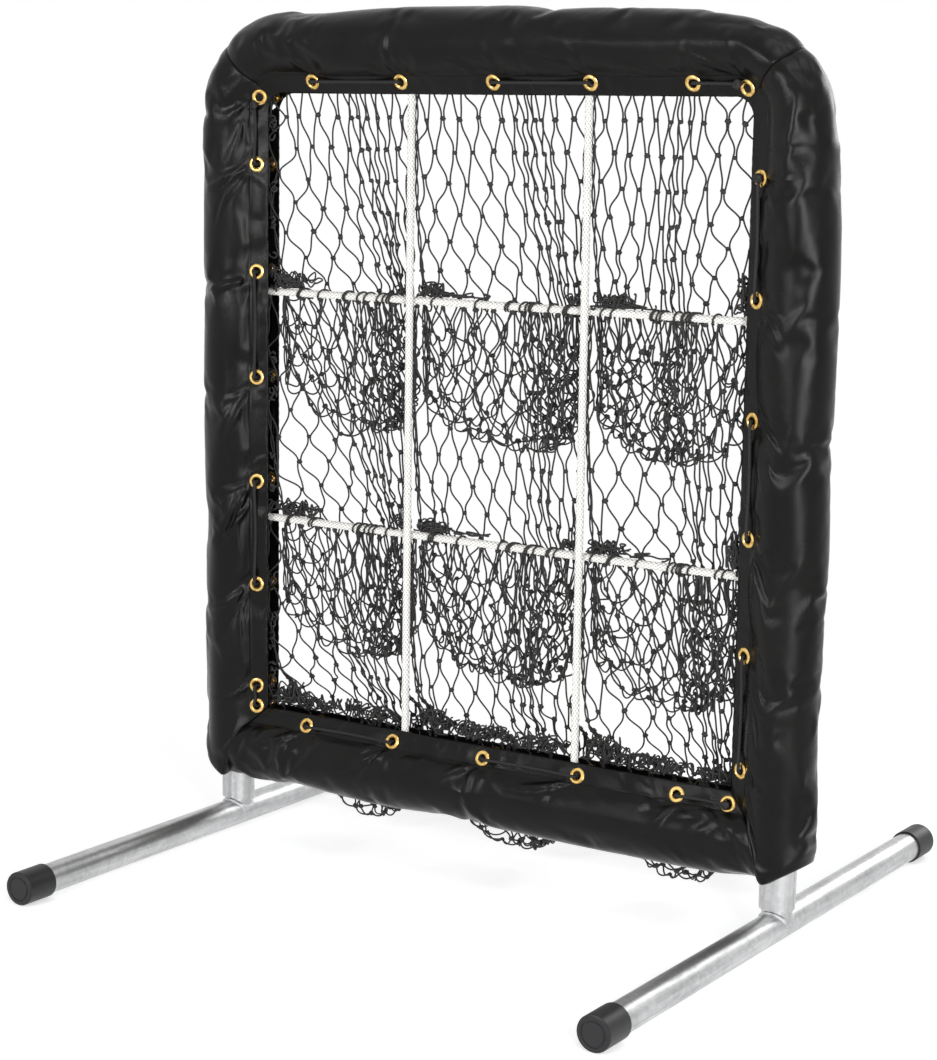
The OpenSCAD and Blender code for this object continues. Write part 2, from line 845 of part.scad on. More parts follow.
// Push-on vinyl cap with a ring moulded in its face
module end_cap(end) {
    ring = [0.62, 0.74];
    color(cord_black)
        translate([-post_x, end * foot_length / 2, foot_axis])
            rotate([end * 90, 0, 0])
                rotate_extrude($fn = smooth)
                    polygon([
                        [0, 0], [ring[0] * cap_r, 0], [ring[0] * cap_r + 0.4, 0.8],
                        [ring[1] * cap_r - 0.4, 0.8], [ring[1] * cap_r, 0],
                        [cap_r - 1.5, 0], [cap_r - 0.45, 0.45], [cap_r, 1.5],
                        [cap_r, cap_length], [foot_r, cap_length], [foot_r, cap_face], [0, cap_face]
                    ]);
}

module left_foot_tube() {
    foot_tube();
}

module left_stub() {
    stub();
}

module left_weld() {
    foot_weld();
}

module left_front_cap() {
    end_cap(-1);
}

module left_rear_cap() {
    end_cap(1);
}

module right_foot_tube() {
    mirror([1, 0, 0]) foot_tube();
}

module right_stub() {
    mirror([1, 0, 0]) stub();
}

module right_weld() {
    mirror([1, 0, 0]) foot_weld();
}

module right_front_cap() {
    mirror([1, 0, 0]) end_cap(-1);
}

module right_rear_cap() {
    mirror([1, 0, 0]) end_cap(1);
}

frame_hoop();
bottom_rail();
rail_welds();
left_foam();
right_foam();
top_foam();
bottom_foam();
left_cover();
right_cover();
top_cover();
bottom_cover();
left_grommets();
right_grommets();
top_grommets();
bottom_grommets();
left_lacing();
right_lacing();
top_lacing();
bottom_lacing();
left_upright_rope();
right_upright_rope();
upper_cross_rope();
lower_cross_rope();
pocket_top_left();
pocket_top_middle();
pocket_top_right();
pocket_centre_left();
pocket_centre_middle();
pocket_centre_right();
pocket_bottom_left();
pocket_bottom_middle();
pocket_bottom_right();
left_foot_tube();
left_stub();
left_weld();
left_front_cap();
left_rear_cap();
right_foot_tube();
right_stub();
right_weld();
right_front_cap();
right_rear_cap();
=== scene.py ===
import math

import bmesh
import bpy
import numpy as np
from mathutils import Matrix, Vector


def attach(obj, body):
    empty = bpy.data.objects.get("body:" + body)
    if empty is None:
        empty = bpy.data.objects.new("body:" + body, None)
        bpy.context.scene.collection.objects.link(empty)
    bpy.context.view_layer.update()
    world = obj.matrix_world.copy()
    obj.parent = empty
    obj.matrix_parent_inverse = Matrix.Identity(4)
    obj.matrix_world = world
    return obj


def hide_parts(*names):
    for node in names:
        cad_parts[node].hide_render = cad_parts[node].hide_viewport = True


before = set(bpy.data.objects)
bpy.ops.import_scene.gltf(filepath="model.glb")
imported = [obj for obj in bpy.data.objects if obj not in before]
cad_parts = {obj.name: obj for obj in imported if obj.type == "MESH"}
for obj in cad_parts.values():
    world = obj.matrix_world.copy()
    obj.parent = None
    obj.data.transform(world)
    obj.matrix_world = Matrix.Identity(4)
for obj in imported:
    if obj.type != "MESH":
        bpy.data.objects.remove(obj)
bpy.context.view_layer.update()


# ---- Camera ----
# A camera 0.9 m above the floor, in front and to the right of the target, turned 33 degrees
# to its front and tipped 10 degrees down.
yaw, pitch, roll = math.radians(33.3213), math.radians(9.6409), math.radians(0.8421)
camera_spot = Vector((1.5168, -2.3613, 0.9055))
right = Vector((math.cos(yaw), math.sin(yaw), 0.0))
forward = Vector((-math.sin(yaw) * math.cos(pitch), math.cos(yaw) * math.cos(pitch),
                  -math.sin(pitch)))
level_up = right.cross(forward)
tilted_right = right * math.cos(roll) + level_up * math.sin(roll)
tilted_up = level_up * math.cos(roll) - right * math.sin(roll)
optics = bpy.data.cameras.new("camera")
optics.sensor_width = 36.0
optics.lens = 81.69
camera = bpy.data.objects.new("camera", optics)
turn = Matrix((tilted_right, tilted_up, -forward)).transposed()
camera.matrix_world = Matrix.Translation(camera_spot) @ turn.to_4x4()
bpy.context.collection.objects.link(camera)
bpy.context.scene.camera = camera


# ---- Floor and light ----
# A white studio: a pale floor that keeps the shadows and fades into a white surround, a tall
# soft light on the right, a small one in front, a weak one above and a broad one behind.
def give(node, inputs):
    """Sets the starting values of a node's inputs."""
    for socket, value in inputs.items():
        node.inputs[socket].default_value = value


def add(tree, kind, inputs=None, **settings):
    """A new shader node with its settings and the starting values of its inputs."""
    node = tree.nodes.new(kind)
    for setting, value in settings.items():
        setattr(node, setting, value)
    give(node, inputs or {})
    return node


def wire(tree, *pairs):
    """Links, each from an output to an input."""
    for source, target in pairs:
        tree.links.new(source, target)


def new_material(name, inputs):
    """A material, its node tree and its Principled shader, with the even values set."""
    material = bpy.data.materials.new(name)
    material.use_nodes = True
    shader = material.node_tree.nodes["Principled BSDF"]
    give(shader, inputs)
    return material, material.node_tree, shader


bpy.ops.mesh.primitive_grid_add(x_subdivisions=8, y_subdivisions=8, size=40.0,
                                location=(0, 6, -0.0005))
floor = bpy.context.object
floor.name = "floor"
paint, tree, matte = new_material("studio floor", {
    "Base Color": (0.93, 0.93, 0.93, 1), "Roughness": 0.75,
    "Emission Color": (1, 1, 1, 1), "Emission Strength": 0.5})
glow = add(tree, "ShaderNodeEmission", {"Color": (1, 1, 1, 1), "Strength": 1.0})
ground = add(tree, "ShaderNodeNewGeometry")
distance = add(tree, "ShaderNodeVectorMath", operation="LENGTH")
fade = add(tree, "ShaderNodeMapRange", {"From Min": 0.5, "From Max": 1.2},
           interpolation_type="SMOOTHSTEP")
mix = add(tree, "ShaderNodeMixShader")
wire(tree,
     (ground.outputs["Position"], distance.inputs[0]),
     (distance.outputs["Value"], fade.inputs["Value"]),
     (fade.outputs["Result"], mix.inputs["Fac"]),
     (matte.outputs["BSDF"], mix.inputs[1]),
     (glow.outputs["Emission"], mix.inputs[2]),
     (mix.outputs["Shader"], tree.nodes["Material Output"].inputs["Surface"]))
floor.data.materials.append(paint)

world = bpy.data.worlds.new("studio")
bpy.context.scene.world = world
world.use_nodes = True
tree = world.node_tree
surround = tree.nodes["Background"]
give(surround, {"Color": (0.97, 0.98, 1.0, 1), "Strength": 0.27})
backdrop = add(tree, "ShaderNodeBackground", {"Color": (1, 1, 1, 1), "Strength": 1.0})
ray = add(tree, "ShaderNodeLightPath")
seen = ray.outputs["Is Camera Ray"]
for kind in ("Is Glossy Ray", "Is Transmission Ray"):
    either = add(tree, "ShaderNodeMath", operation="MAXIMUM")
    wire(tree, (seen, either.inputs[0]), (ray.outputs[kind], either.inputs[1]))
    seen = either.outputs["Value"]
mix = add(tree, "ShaderNodeMixShader")
wire(tree,
     (seen, mix.inputs["Fac"]),
     (surround.outputs["Background"], mix.inputs[1]),
     (backdrop.outputs["Background"], mix.inputs[2]),
     (mix.outputs["Shader"], tree.nodes["World Output"].inputs["Surface"]))

target_middle = Vector((0, 0, 0.5))
for name, spot, width, height, watts in (
    ("right", (2.4, -2.1, 0.92), 0.6, 1.8, 60),
    ("front", (-0.3, -2.9, 1.25), 0.5, 0.5, 34),
    ("above", (1.4, -0.2, 3.0), 0.8, 0.8, 8),
    ("behind", (0.9, 2.9, 1.7), 1.2, 1.2, 26),
):
    light = bpy.data.lights.new(name, "AREA")
    light.shape = "RECTANGLE"
    light.size = width
    light.size_y = height
    light.energy = watts
    lamp = bpy.data.objects.new(name, light)
    lamp.location = spot
    lamp.rotation_euler = (target_middle - Vector(spot)).to_track_quat("-Z", "Y").to_euler()
    bpy.context.collection.objects.link(lamp)
bpy.context.scene.view_settings.view_transform = "Standard"


# ---- Galvanised pipes ----
# Round steel pipe, hot-dip galvanised: the bent hoop, the bottom rail, the stubs and the feet.
# The zinc is streaked along each pipe, and duller and rougher over the weld beads.
def new_group(name, takes, gives):
    """An empty shader group with named inputs and outputs, and the nodes at its two ends."""
    group = bpy.data.node_groups.new(name, "ShaderNodeTree")
    for labels, direction in ((takes, "INPUT"), (gives, "OUTPUT")):
        for label, kind in labels.items():
            group.interface.new_socket(label, in_out=direction, socket_type="NodeSocket" + kind)
    return group, add(group, "NodeGroupInput"), add(group, "NodeGroupOutput")


def two_tone(tree, low, dark, high, light):
    """A ramp from a dark colour at low to a light one at high."""
    ramp = add(tree, "ShaderNodeValToRGB")
    stops = ramp.color_ramp.elements
    stops[0].position, stops[0].color = low, (*dark, 1)
    stops[1].position, stops[1].color = high, (*light, 1)
    return ramp


def raise_surface(tree, shader, height, strength, depth):
    """A bump, depth metres high at full strength, that a height output drives."""
    relief = add(tree, "ShaderNodeBump", {"Strength": strength, "Distance": depth}, name="relief")
    wire(tree, (height, relief.inputs["Height"]), (relief.outputs["Normal"], shader.inputs["Normal"]))


zinc_skin, into, out_of = new_group(
    "zinc skin", {"Stretch": "Vector", "Dull": "Float"},
    {"Color": "Color", "Roughness": "Float", "Height": "Float"})
spot = add(zinc_skin, "ShaderNodeTexCoord")
drawn = add(zinc_skin, "ShaderNodeVectorMath", operation="MULTIPLY")
streaks = add(zinc_skin, "ShaderNodeTexNoise", {"Scale": 1.0, "Detail": 6.0, "Roughness": 0.65})
spangle = add(zinc_skin, "ShaderNodeTexVoronoi", {"Scale": 160.0})
stain = add(zinc_skin, "ShaderNodeTexNoise", {"Scale": 11.0, "Detail": 4.0})
blend = add(zinc_skin, "ShaderNodeMix", {0: 0.2}, data_type="FLOAT")
cloudy = add(zinc_skin, "ShaderNodeMix", {0: 0.35}, data_type="FLOAT")
tone = two_tone(zinc_skin, 0.34, (0.35, 0.353, 0.357), 0.64, (0.60, 0.602, 0.606))
gloss = add(zinc_skin, "ShaderNodeMapRange", {"To Min": 0.50, "To Max": 0.26})
duller = add(zinc_skin, "ShaderNodeMath", operation="ADD")
wire(zinc_skin,
     (spot.outputs["Object"], drawn.inputs[0]), (into.outputs["Stretch"], drawn.inputs[1]),
     (drawn.outputs["Vector"], streaks.inputs["Vector"]),
     (spot.outputs["Object"], spangle.inputs["Vector"]),
     (spot.outputs["Object"], stain.inputs["Vector"]),
     (streaks.outputs["Fac"], blend.inputs[2]), (spangle.outputs["Color"], blend.inputs[3]),
     (blend.outputs[0], cloudy.inputs[2]), (stain.outputs["Fac"], cloudy.inputs[3]),
     (cloudy.outputs[0], tone.inputs["Fac"]), (cloudy.outputs[0], gloss.inputs["Value"]),
     (gloss.outputs["Result"], duller.inputs[0]), (into.outputs["Dull"], duller.inputs[1]),
     (tone.outputs["Color"], out_of.inputs["Color"]),
     (duller.outputs["Value"], out_of.inputs["Roughness"]),
     (streaks.outputs["Fac"], out_of.inputs["Height"]))


def zinc(name, stretch, dull, bumps):
    """Zinc whose streaks are drawn out along the axis with the smallest stretch."""
    material, tree, metal = new_material(name, {"Metallic": 1.0})
    skin = add(tree, "ShaderNodeGroup", node_tree=zinc_skin)
    give(skin, {"Stretch": stretch, "Dull": dull})
    wire(tree, (skin.outputs["Color"], metal.inputs["Base Color"]),
         (skin.outputs["Roughness"], metal.inputs["Roughness"]))
    raise_surface(tree, metal, skin.outputs["Height"], 0.35, bumps)
    return material


def finish_node(node, material):
    """Gives a part that keeps its own shape its material."""
    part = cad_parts[node]
    part.data.materials.clear()
    part.data.materials.append(material)


zinc_upright = zinc("galvanised pipe upright", (190, 190, 9), 0.0, 0.0003)
zinc_across = zinc("galvanised pipe across", (9, 190, 190), 0.0, 0.0003)
zinc_deep = zinc("galvanised pipe front to back", (190, 9, 190), 0.0, 0.0003)
zinc_weld = zinc("galvanised weld bead", (260, 260, 260), 0.14, 0.0012)
finish_node("frame_hoop", zinc_upright)
finish_node("bottom_rail", zinc_across)
finish_node("rail_welds", zinc_weld)
for side in ("left", "right"):
    finish_node(side + "_stub", zinc_upright)
    finish_node(side + "_foot_tube", zinc_deep)
    finish_node(side + "_weld", zinc_weld)


# ---- End caps ----
# Soft black vinyl caps pushed over the ends of the feet, with a faint moulded grain and a
# patchy sheen.
rubber_skin, into, out_of = new_group(
    "rubber skin", {"Dark": "Color", "Light": "Color", "Gloss": "Float", "Grain": "Float"},
    {"Color": "Color", "Roughness": "Float", "Height": "Float"})
spot = add(rubber_skin, "ShaderNodeTexCoord")
pores = add(rubber_skin, "ShaderNodeTexNoise", {"Detail": 3.0})
cloud = add(rubber_skin, "ShaderNodeTexNoise", {"Scale": 14.0, "Detail": 5.0})
patchy = add(rubber_skin, "ShaderNodeMapRange", {"From Min": 0.35, "From Max": 0.72})
tone = add(rubber_skin, "ShaderNodeMix", data_type="RGBA")
gloss = add(rubber_skin, "ShaderNodeMapRange",
            {"From Min": 0.3, "From Max": 0.7, "To Min": -0.05, "To Max": 0.06})
rougher = add(rubber_skin, "ShaderNodeMath", operation="ADD")
wire(rubber_skin,
     (spot.outputs["Object"], pores.inputs["Vector"]), (into.outputs["Grain"], pores.inputs["Scale"]),
     (spot.outputs["Object"], cloud.inputs["Vector"]), (cloud.outputs["Fac"], patchy.inputs["Value"]),
     (patchy.outputs["Result"], tone.inputs[0]), (into.outputs["Dark"], tone.inputs[6]),
     (into.outputs["Light"], tone.inputs[7]), (cloud.outputs["Fac"], gloss.inputs["Value"]),
     (gloss.outputs["Result"], rougher.inputs[0]), (into.outputs["Gloss"], rougher.inputs[1]),
     (tone.outputs[2], out_of.inputs["Color"]), (rougher.outputs["Value"], out_of.inputs["Roughness"]),
     (pores.outputs["Fac"], out_of.inputs["Height"]))


def rubbery(name, colour, rough, grain, depth, shine):
    """Rubber, vinyl or foam: a patchy colour, and pores of grain per metre, depth metres deep."""
    material, tree, body = new_material(name, {"Specular IOR Level": shine})
    skin = add(tree, "ShaderNodeGroup", node_tree=rubber_skin, name="skin")
    give(skin, {"Dark": (*colour, 1), "Light": (*[c * 1.45 + 0.001 for c in colour], 1),
                "Gloss": rough, "Grain": grain})
    wire(tree, (skin.outputs["Color"], body.inputs["Base Color"]),
         (skin.outputs["Roughness"], body.inputs["Roughness"]))
    raise_surface(tree, body, skin.outputs["Height"], 0.3, depth)
    return material


cap_black = rubbery("black end cap", (0.010, 0.010, 0.011), 0.42, 1400.0, 0.0002, 0.32)
for name in ("left_front_cap", "left_rear_cap", "right_front_cap", "right_rear_cap"):
    finish_node(name, cap_black)


# ---- Foam padding ----
# Closed-cell foam tube round each pipe under the vinyl, pressed in a little by the tight
# sleeves, with a skin of fine cells. It shows only at the lower ends of the posts.
post_x, top_z = 386.5, 993.0                    # the axes of the posts and the top rail, in mm
pipe_skin = 0.0212                              # from a pipe's axis to just over its surface, in metres


def slack_at(side, s):
    """How far the vinyl is drawn in to the pipe at distance s along the top or the right side."""
    if side == "top":
        return np.interp(s, [40, 170, 255, 296, 330, 369.3], [0, 0.3, 0.42, 0.75, 1.0, 0.85])
    return np.interp(s, [840, 880, 913, 950, 975.8], [0, 0.15, 0.55, 0.78, 0.85])


def remake(source, name, voxel):
    """A copy of a part with an even, softened skin of small faces."""
    piece = bpy.data.objects.new(name, source.data.copy())
    bpy.context.collection.objects.link(piece)
    body = bmesh.new()
    body.from_mesh(piece.data)
    bmesh.ops.remove_doubles(body, verts=body.verts, dist=0.00002)
    body.to_mesh(piece.data)
    body.free()
    cells = piece.modifiers.new("cells", "REMESH")
    cells.mode = "VOXEL"
    cells.voxel_size = voxel
    soften = piece.modifiers.new("soften", "SMOOTH")
    soften.factor = 0.5
    soften.iterations = 4
    graph = bpy.context.evaluated_depsgraph_get()
    made = bpy.data.meshes.new_from_object(piece.evaluated_get(graph))
    piece.modifiers.clear()
    piece.data = made
    return piece


def read(items, name, width=3, kind=float):
    """One property of all vertices or corners of a mesh, a row for each."""
    values = np.empty(len(items) * width, kind)
    items.foreach_get(name, values)
    return values.reshape(-1, width)


foam = rubbery("foam padding", (0.085, 0.09, 0.098), 0.85, 900.0, 0.0006, 0.3)
for name in ("left_foam", "right_foam", "top_foam", "bottom_foam"):
    side = name[:-len("_foam")]
    pad = remake(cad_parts[name], side + "_padding", 0.0055)
    spots, normals = read(pad.data.vertices, "co"), read(pad.data.vertex_normals, "vector")
    waves = (np.sin(spots @ np.array([61.0, 47.0, 53.0]))
             * np.sin(spots @ np.array([-39.0, 58.0, 44.0])))
    spots -= normals * (0.0034 + 0.0004 * waves)[:, None]
    # Squeezed flat where the vinyl is drawn in at the top right corner
    if side in ("top", "right"):
        axis, outer, along = (top_z / 1000, 2, 0) if side == "top" else (post_x / 1000, 0, 2)
        away = spots[:, outer] - axis
        tight = slack_at(side, spots[:, along] * 1000.0) * np.clip(away / 0.022, 0, 1)
        radius = np.hypot(away, spots[:, 1])
        pressed = (pipe_skin + (radius - pipe_skin) * (1 - 0.97 * np.minimum(tight, 1.0))
                   - 0.0012 * np.minimum(tight * 3, 1.0))
        share = np.where(radius > pipe_skin, pressed / np.maximum(radius, 1e-6), 1.0)
        spots[:, 1] *= share
        spots[:, outer] = axis + away * share
    pad.data.vertices.foreach_set("co", spots.ravel())
    pad.data.materials.clear()
    pad.data.materials.append(foam)
    pad.data.shade_smooth()
    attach(pad, "frame")
    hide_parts(name)


# ---- Vinyl sleeves ----
# Four sleeves of satin black vinyl over the foam, each one sheet wrapped round its pipe so
# that its two edges make a front and a rear flap along the opening. The top corners meet in
# mitre seams, and the side sleeves end in a drawn-in hem round the posts.
rail_z, bend = 111.0, 80.0
bend_x, bend_z = post_x - bend, top_z - bend
half_bend = 62.83                               # from the start of a bend to its mitre
cover_r = 39.0                                  # to the middle of the vinyl
flap_u, flap_root, flap_slope = 32.76, 20.13, 0.4008
flap_edge, flap_columns = 56.81, 6
hem_z, hem_u, hem_r = 71.5, 26, 22.4            # the drawn-in lower ends on the posts
grommet_u, grommet_y = 43.3, 15.9


def flap_y(u):
    """Distance of the flaps from the middle plane, u from the pipe's axis."""
    return flap_root - (u - flap_u) * flap_slope


def natural(u):
    """Distance of the whole sleeve from the middle plane, before the hem draws it in."""
    round_part = np.sqrt(np.maximum(0.0, cover_r**2 - np.minimum(u, flap_u) ** 2))
    return np.where(u > flap_u, flap_y(u), round_part)


def place(side, s, u, y):
    """The point at distance s along a side, u towards the opening and y to the rear, in mm."""
    if side in ("left", "right"):
        turn = np.maximum(0.0, s - bend_z) / bend
        x = np.where(turn > 0, -bend_x - (bend - u) * np.cos(turn), -post_x + u)
        z = np.where(turn > 0, bend_z + (bend - u) * np.sin(turn), s)
        x = x if side == "left" else -x
    elif side == "top":
        turn = np.maximum(0.0, np.abs(s) - bend_x) / bend
        x = np.where(turn > 0, np.sign(s) * (bend_x + (bend - u) * np.sin(turn)), s)
        z = np.where(turn > 0, bend_z + (bend - u) * np.cos(turn), top_z - u)
    else:
        x, z = s + 0 * u, rail_z + u + 0 * s
    return np.stack([x, y + 0 * x, z], -1)


# Where the grommets lie along each side
grommets_at = {
    "left": [168.3] + [195.0 + 131.0 * k for k in range(6)] + [931.8],
    "right": [195.0 + 131.0 * k for k in range(6)],
    "top": [129.0 * k for k in range(-2, 3)] + [325.3],
    "bottom": [132.0 * k for k in range(-2, 3)] + [329.2],
}
# The sleeve's section: front flap, round part, rear flap, with the way out at each point
around = np.radians(np.linspace(32.5, 327.5, 42))
flap_line = np.linspace(flap_edge, 36.4, flap_columns)
section_u = np.concatenate([flap_line, cover_r * np.cos(around),
                            np.linspace(36.4, flap_edge, flap_columns)])
section_y = np.concatenate([-flap_y(section_u[:flap_columns]), -cover_r * np.sin(around),
                            flap_y(section_u[-flap_columns:])])
outward = np.concatenate([np.tile([0.372, -0.928], (flap_columns, 1)),
                          np.stack([np.cos(around), -np.sin(around)], 1),
                          np.tile([0.372, 0.928], (flap_columns, 1))])
columns = len(section_u)
flap = ((np.arange(columns) < flap_columns) | (np.arange(columns) >= columns - flap_columns))
across = np.concatenate([[0], np.cumsum(np.hypot(np.diff(section_u), np.diff(section_y)))])

vinyl = rubbery("black vinyl", (0.0026, 0.0022, 0.0020), 0.235, 2100.0, 0.001, 0.165)
tree = vinyl.node_tree
on_vinyl = add(tree, "ShaderNodeUVMap", uv_map="sheet")
split = add(tree, "ShaderNodeSeparateXYZ")
wire(tree, (on_vinyl.outputs["UV"], split.inputs["Vector"]))
lengthwise, crosswise = split.outputs["X"], split.outputs["Y"]


def reckon(operation, *inputs):
    """A Math node of the vinyl: its inputs are outputs of other nodes or plain numbers."""
    node = add(tree, "ShaderNodeMath", operation=operation)
    for number, value in enumerate(inputs):
        if isinstance(value, (int, float)):
            node.inputs[number].default_value = value
        else:
            tree.links.new(value, node.inputs[number])
    return node.outputs["Value"]


# The woven backing shows faintly through, and a stitched hem runs beside the grommets
half, hem_in, hem_wide = across[-1] / 2000.0, 0.0235, 0.0011
thread_rate, stitch_rate = 2 * math.pi / 0.0024, 2 * math.pi / 0.0045
warp = reckon("SINE", reckon("MULTIPLY", lengthwise, thread_rate))
weft = reckon("SINE", reckon("MULTIPLY", crosswise, thread_rate))
weave = reckon("MULTIPLY", warp, weft)
from_middle = reckon("ABSOLUTE", reckon("SUBTRACT", crosswise, half))
from_hem = reckon("ABSOLUTE", reckon("SUBTRACT", from_middle, half - hem_in))
groove = reckon("MAXIMUM", reckon("SUBTRACT", 1.0, reckon("DIVIDE", from_hem, hem_wide)), 0.0)
beat = reckon("GREATER_THAN", reckon("SINE", reckon("MULTIPLY", lengthwise, stitch_rate)), -0.45)
thread = reckon("MULTIPLY", beat, reckon("LESS_THAN", from_hem, 0.0005))
grain = reckon("MULTIPLY", tree.nodes["skin"].outputs["Height"], 0.16)
height = reckon("MULTIPLY_ADD", weave, 0.035, grain)
height = reckon("MULTIPLY_ADD", groove, -0.45, height)
height = reckon("MULTIPLY_ADD", thread, 0.7, height)
tree.links.new(height, tree.nodes["relief"].inputs["Height"])
give(tree.nodes["relief"], {"Strength": 0.75})

# How the creases that the lacing pulls leave each grommet: along the side, round it, how strong
pulls = {"left": (-0.78, 0.62, 1.7), "right": (-0.62, 0.78, 1.6),
         "top": (-0.45, 0.89, 1.2), "bottom": (-0.74, 0.67, 1.9)}


def creases(side, s, w, rng):
    """Height of the creases at distance s along a sleeve and w round it from its front edge."""
    height = np.zeros_like(s)
    run_s, run_w, strength = pulls[side]
    for grommet in grommets_at[side]:
        for face in (0, 1):
            for number in range(3):
                turn = rng.normal(0, 0.2) + (number - 1) * 0.33
                ds = run_s * math.cos(turn) - run_w * math.sin(turn)
                dw = run_w * math.cos(turn) + run_s * math.sin(turn)
                reach, wide = rng.uniform(42, 95), rng.uniform(2.4, 5.2)
                tall, bow = rng.uniform(0.6, 3.0) * strength, rng.normal(0, 0.0035)
                from_s = s - grommet - rng.normal(0, 9)
                from_w = (w if face == 0 else across[-1] - w) - 16
                p = from_s * ds + from_w * dw
                q = from_s * dw - from_w * ds + bow * p * p
                window = np.clip((p - 8) / 14, 0, 1) * np.clip((reach - p) / 34, 0, 1)
                ridge = np.exp(-(q / wide)**2) - 0.7 * np.exp(-((q - 1.7 * wide) / wide)**2)
                height += tall * window * ridge
    if side == "top":
        height *= np.interp(s, [-330, -180, -60, 200, 330], [1.3, 1.1, 0.5, 0.35, 0.9])
    return height * np.clip((np.minimum(w, across[-1] - w) - 22) / 9, 0, 1)


def sleeve_ends(side):
    """Where each line along a sleeve starts and ends, on the lower corners and the mitres."""
    u = section_u
    if side in ("left", "right"):
        start = np.where(u >= hem_u, rail_z + u, hem_z + (u - 6) * 3.275)
        start = np.where(u < 6, hem_z, start)
        start = np.maximum(start, np.where(u < 10.5, hem_z + (10.5 - u) * 0.54, 0))
        return start, np.full(columns, bend_z + half_bend)
    if side == "top":
        finish = np.full(columns, bend_x + half_bend)
        return -finish, finish
    start = -post_x + np.where(u >= hem_u, u, 6 + (u + 39.5) * 0.3053) - np.where(u >= hem_u, 0.0, 4.0)
    return start, -start


def lay_out(side, start, s, rows):
    """The sleeve's points before the simulation, drawn in at its seams and its hem."""
    u, y = np.tile(section_u, (rows + 1, 1)), np.tile(section_y, (rows + 1, 1))
    # The seams at the mitres draw the vinyl in along a narrow valley
    seam = np.zeros_like(s)
    if side == "top":
        seam = np.exp(-(bend_x + half_bend - np.abs(s)) / 6.0)
    elif side in ("left", "right"):
        seam = np.exp(-(bend_z + half_bend - s) / 6.0)
    drawn = 2.2 * seam * ~flap
    # Past the right end of the top foam the vinyl lies in flat facets over the bare pipe
    if side in ("top", "right"):
        slack = slack_at(side, s)
        outer = slack * np.clip(-u / 22.0, 0, 1)
        drawn = drawn + 14.6 * outer + 1.2 * slack * ~flap * (1 - outer)
    u = u - outward[:, 0] * drawn
    y = y - outward[:, 1] * drawn
    if side in ("left", "right"):
        hem = np.clip(1 - (s - start) / 24.0, 0, 1)
        lower, flat = natural(start - rail_z), np.abs(section_y)
        turned_up = (section_u >= 6) & (section_u < hem_u)
        wider = np.where(turned_up, np.maximum(lower, flat) + 0.8, flat + 0.3)
        y = np.sign(y) * (np.abs(y) + (wider - flat) * hem * ~flap)
    return place(side, s, u, y)


def close_hem(side, spots, faces, index):
    """Adds the strip that runs from a side sleeve's lower edge in to the post."""
    span = [k for k in range(columns) if section_u[k] < hem_u]
    previous = index[0, span]
    edge = spots[previous]
    axis = [-post_x if side == "left" else post_x, 0]
    away = edge[:, :2] - axis
    ring = away / np.linalg.norm(away, axis=1)[:, None] * hem_r
    for step in (0.25, 0.5, 0.75, 1.0):
        inner = edge.copy()
        inner[:, :2] = edge[:, :2] * (1 - step) + (ring + axis) * step
        inner[:, 2] += np.clip(76.0 - edge[:, 2], -4, 4) * step - 1.2 * math.sin(math.pi * step)
        fresh = np.arange(len(spots), len(spots) + len(span))
        spots = np.concatenate([spots, inner])
        faces += [[previous[k + 1], previous[k], fresh[k], fresh[k + 1]]
                  for k in range(len(span) - 1)]
        previous = fresh
    return spots


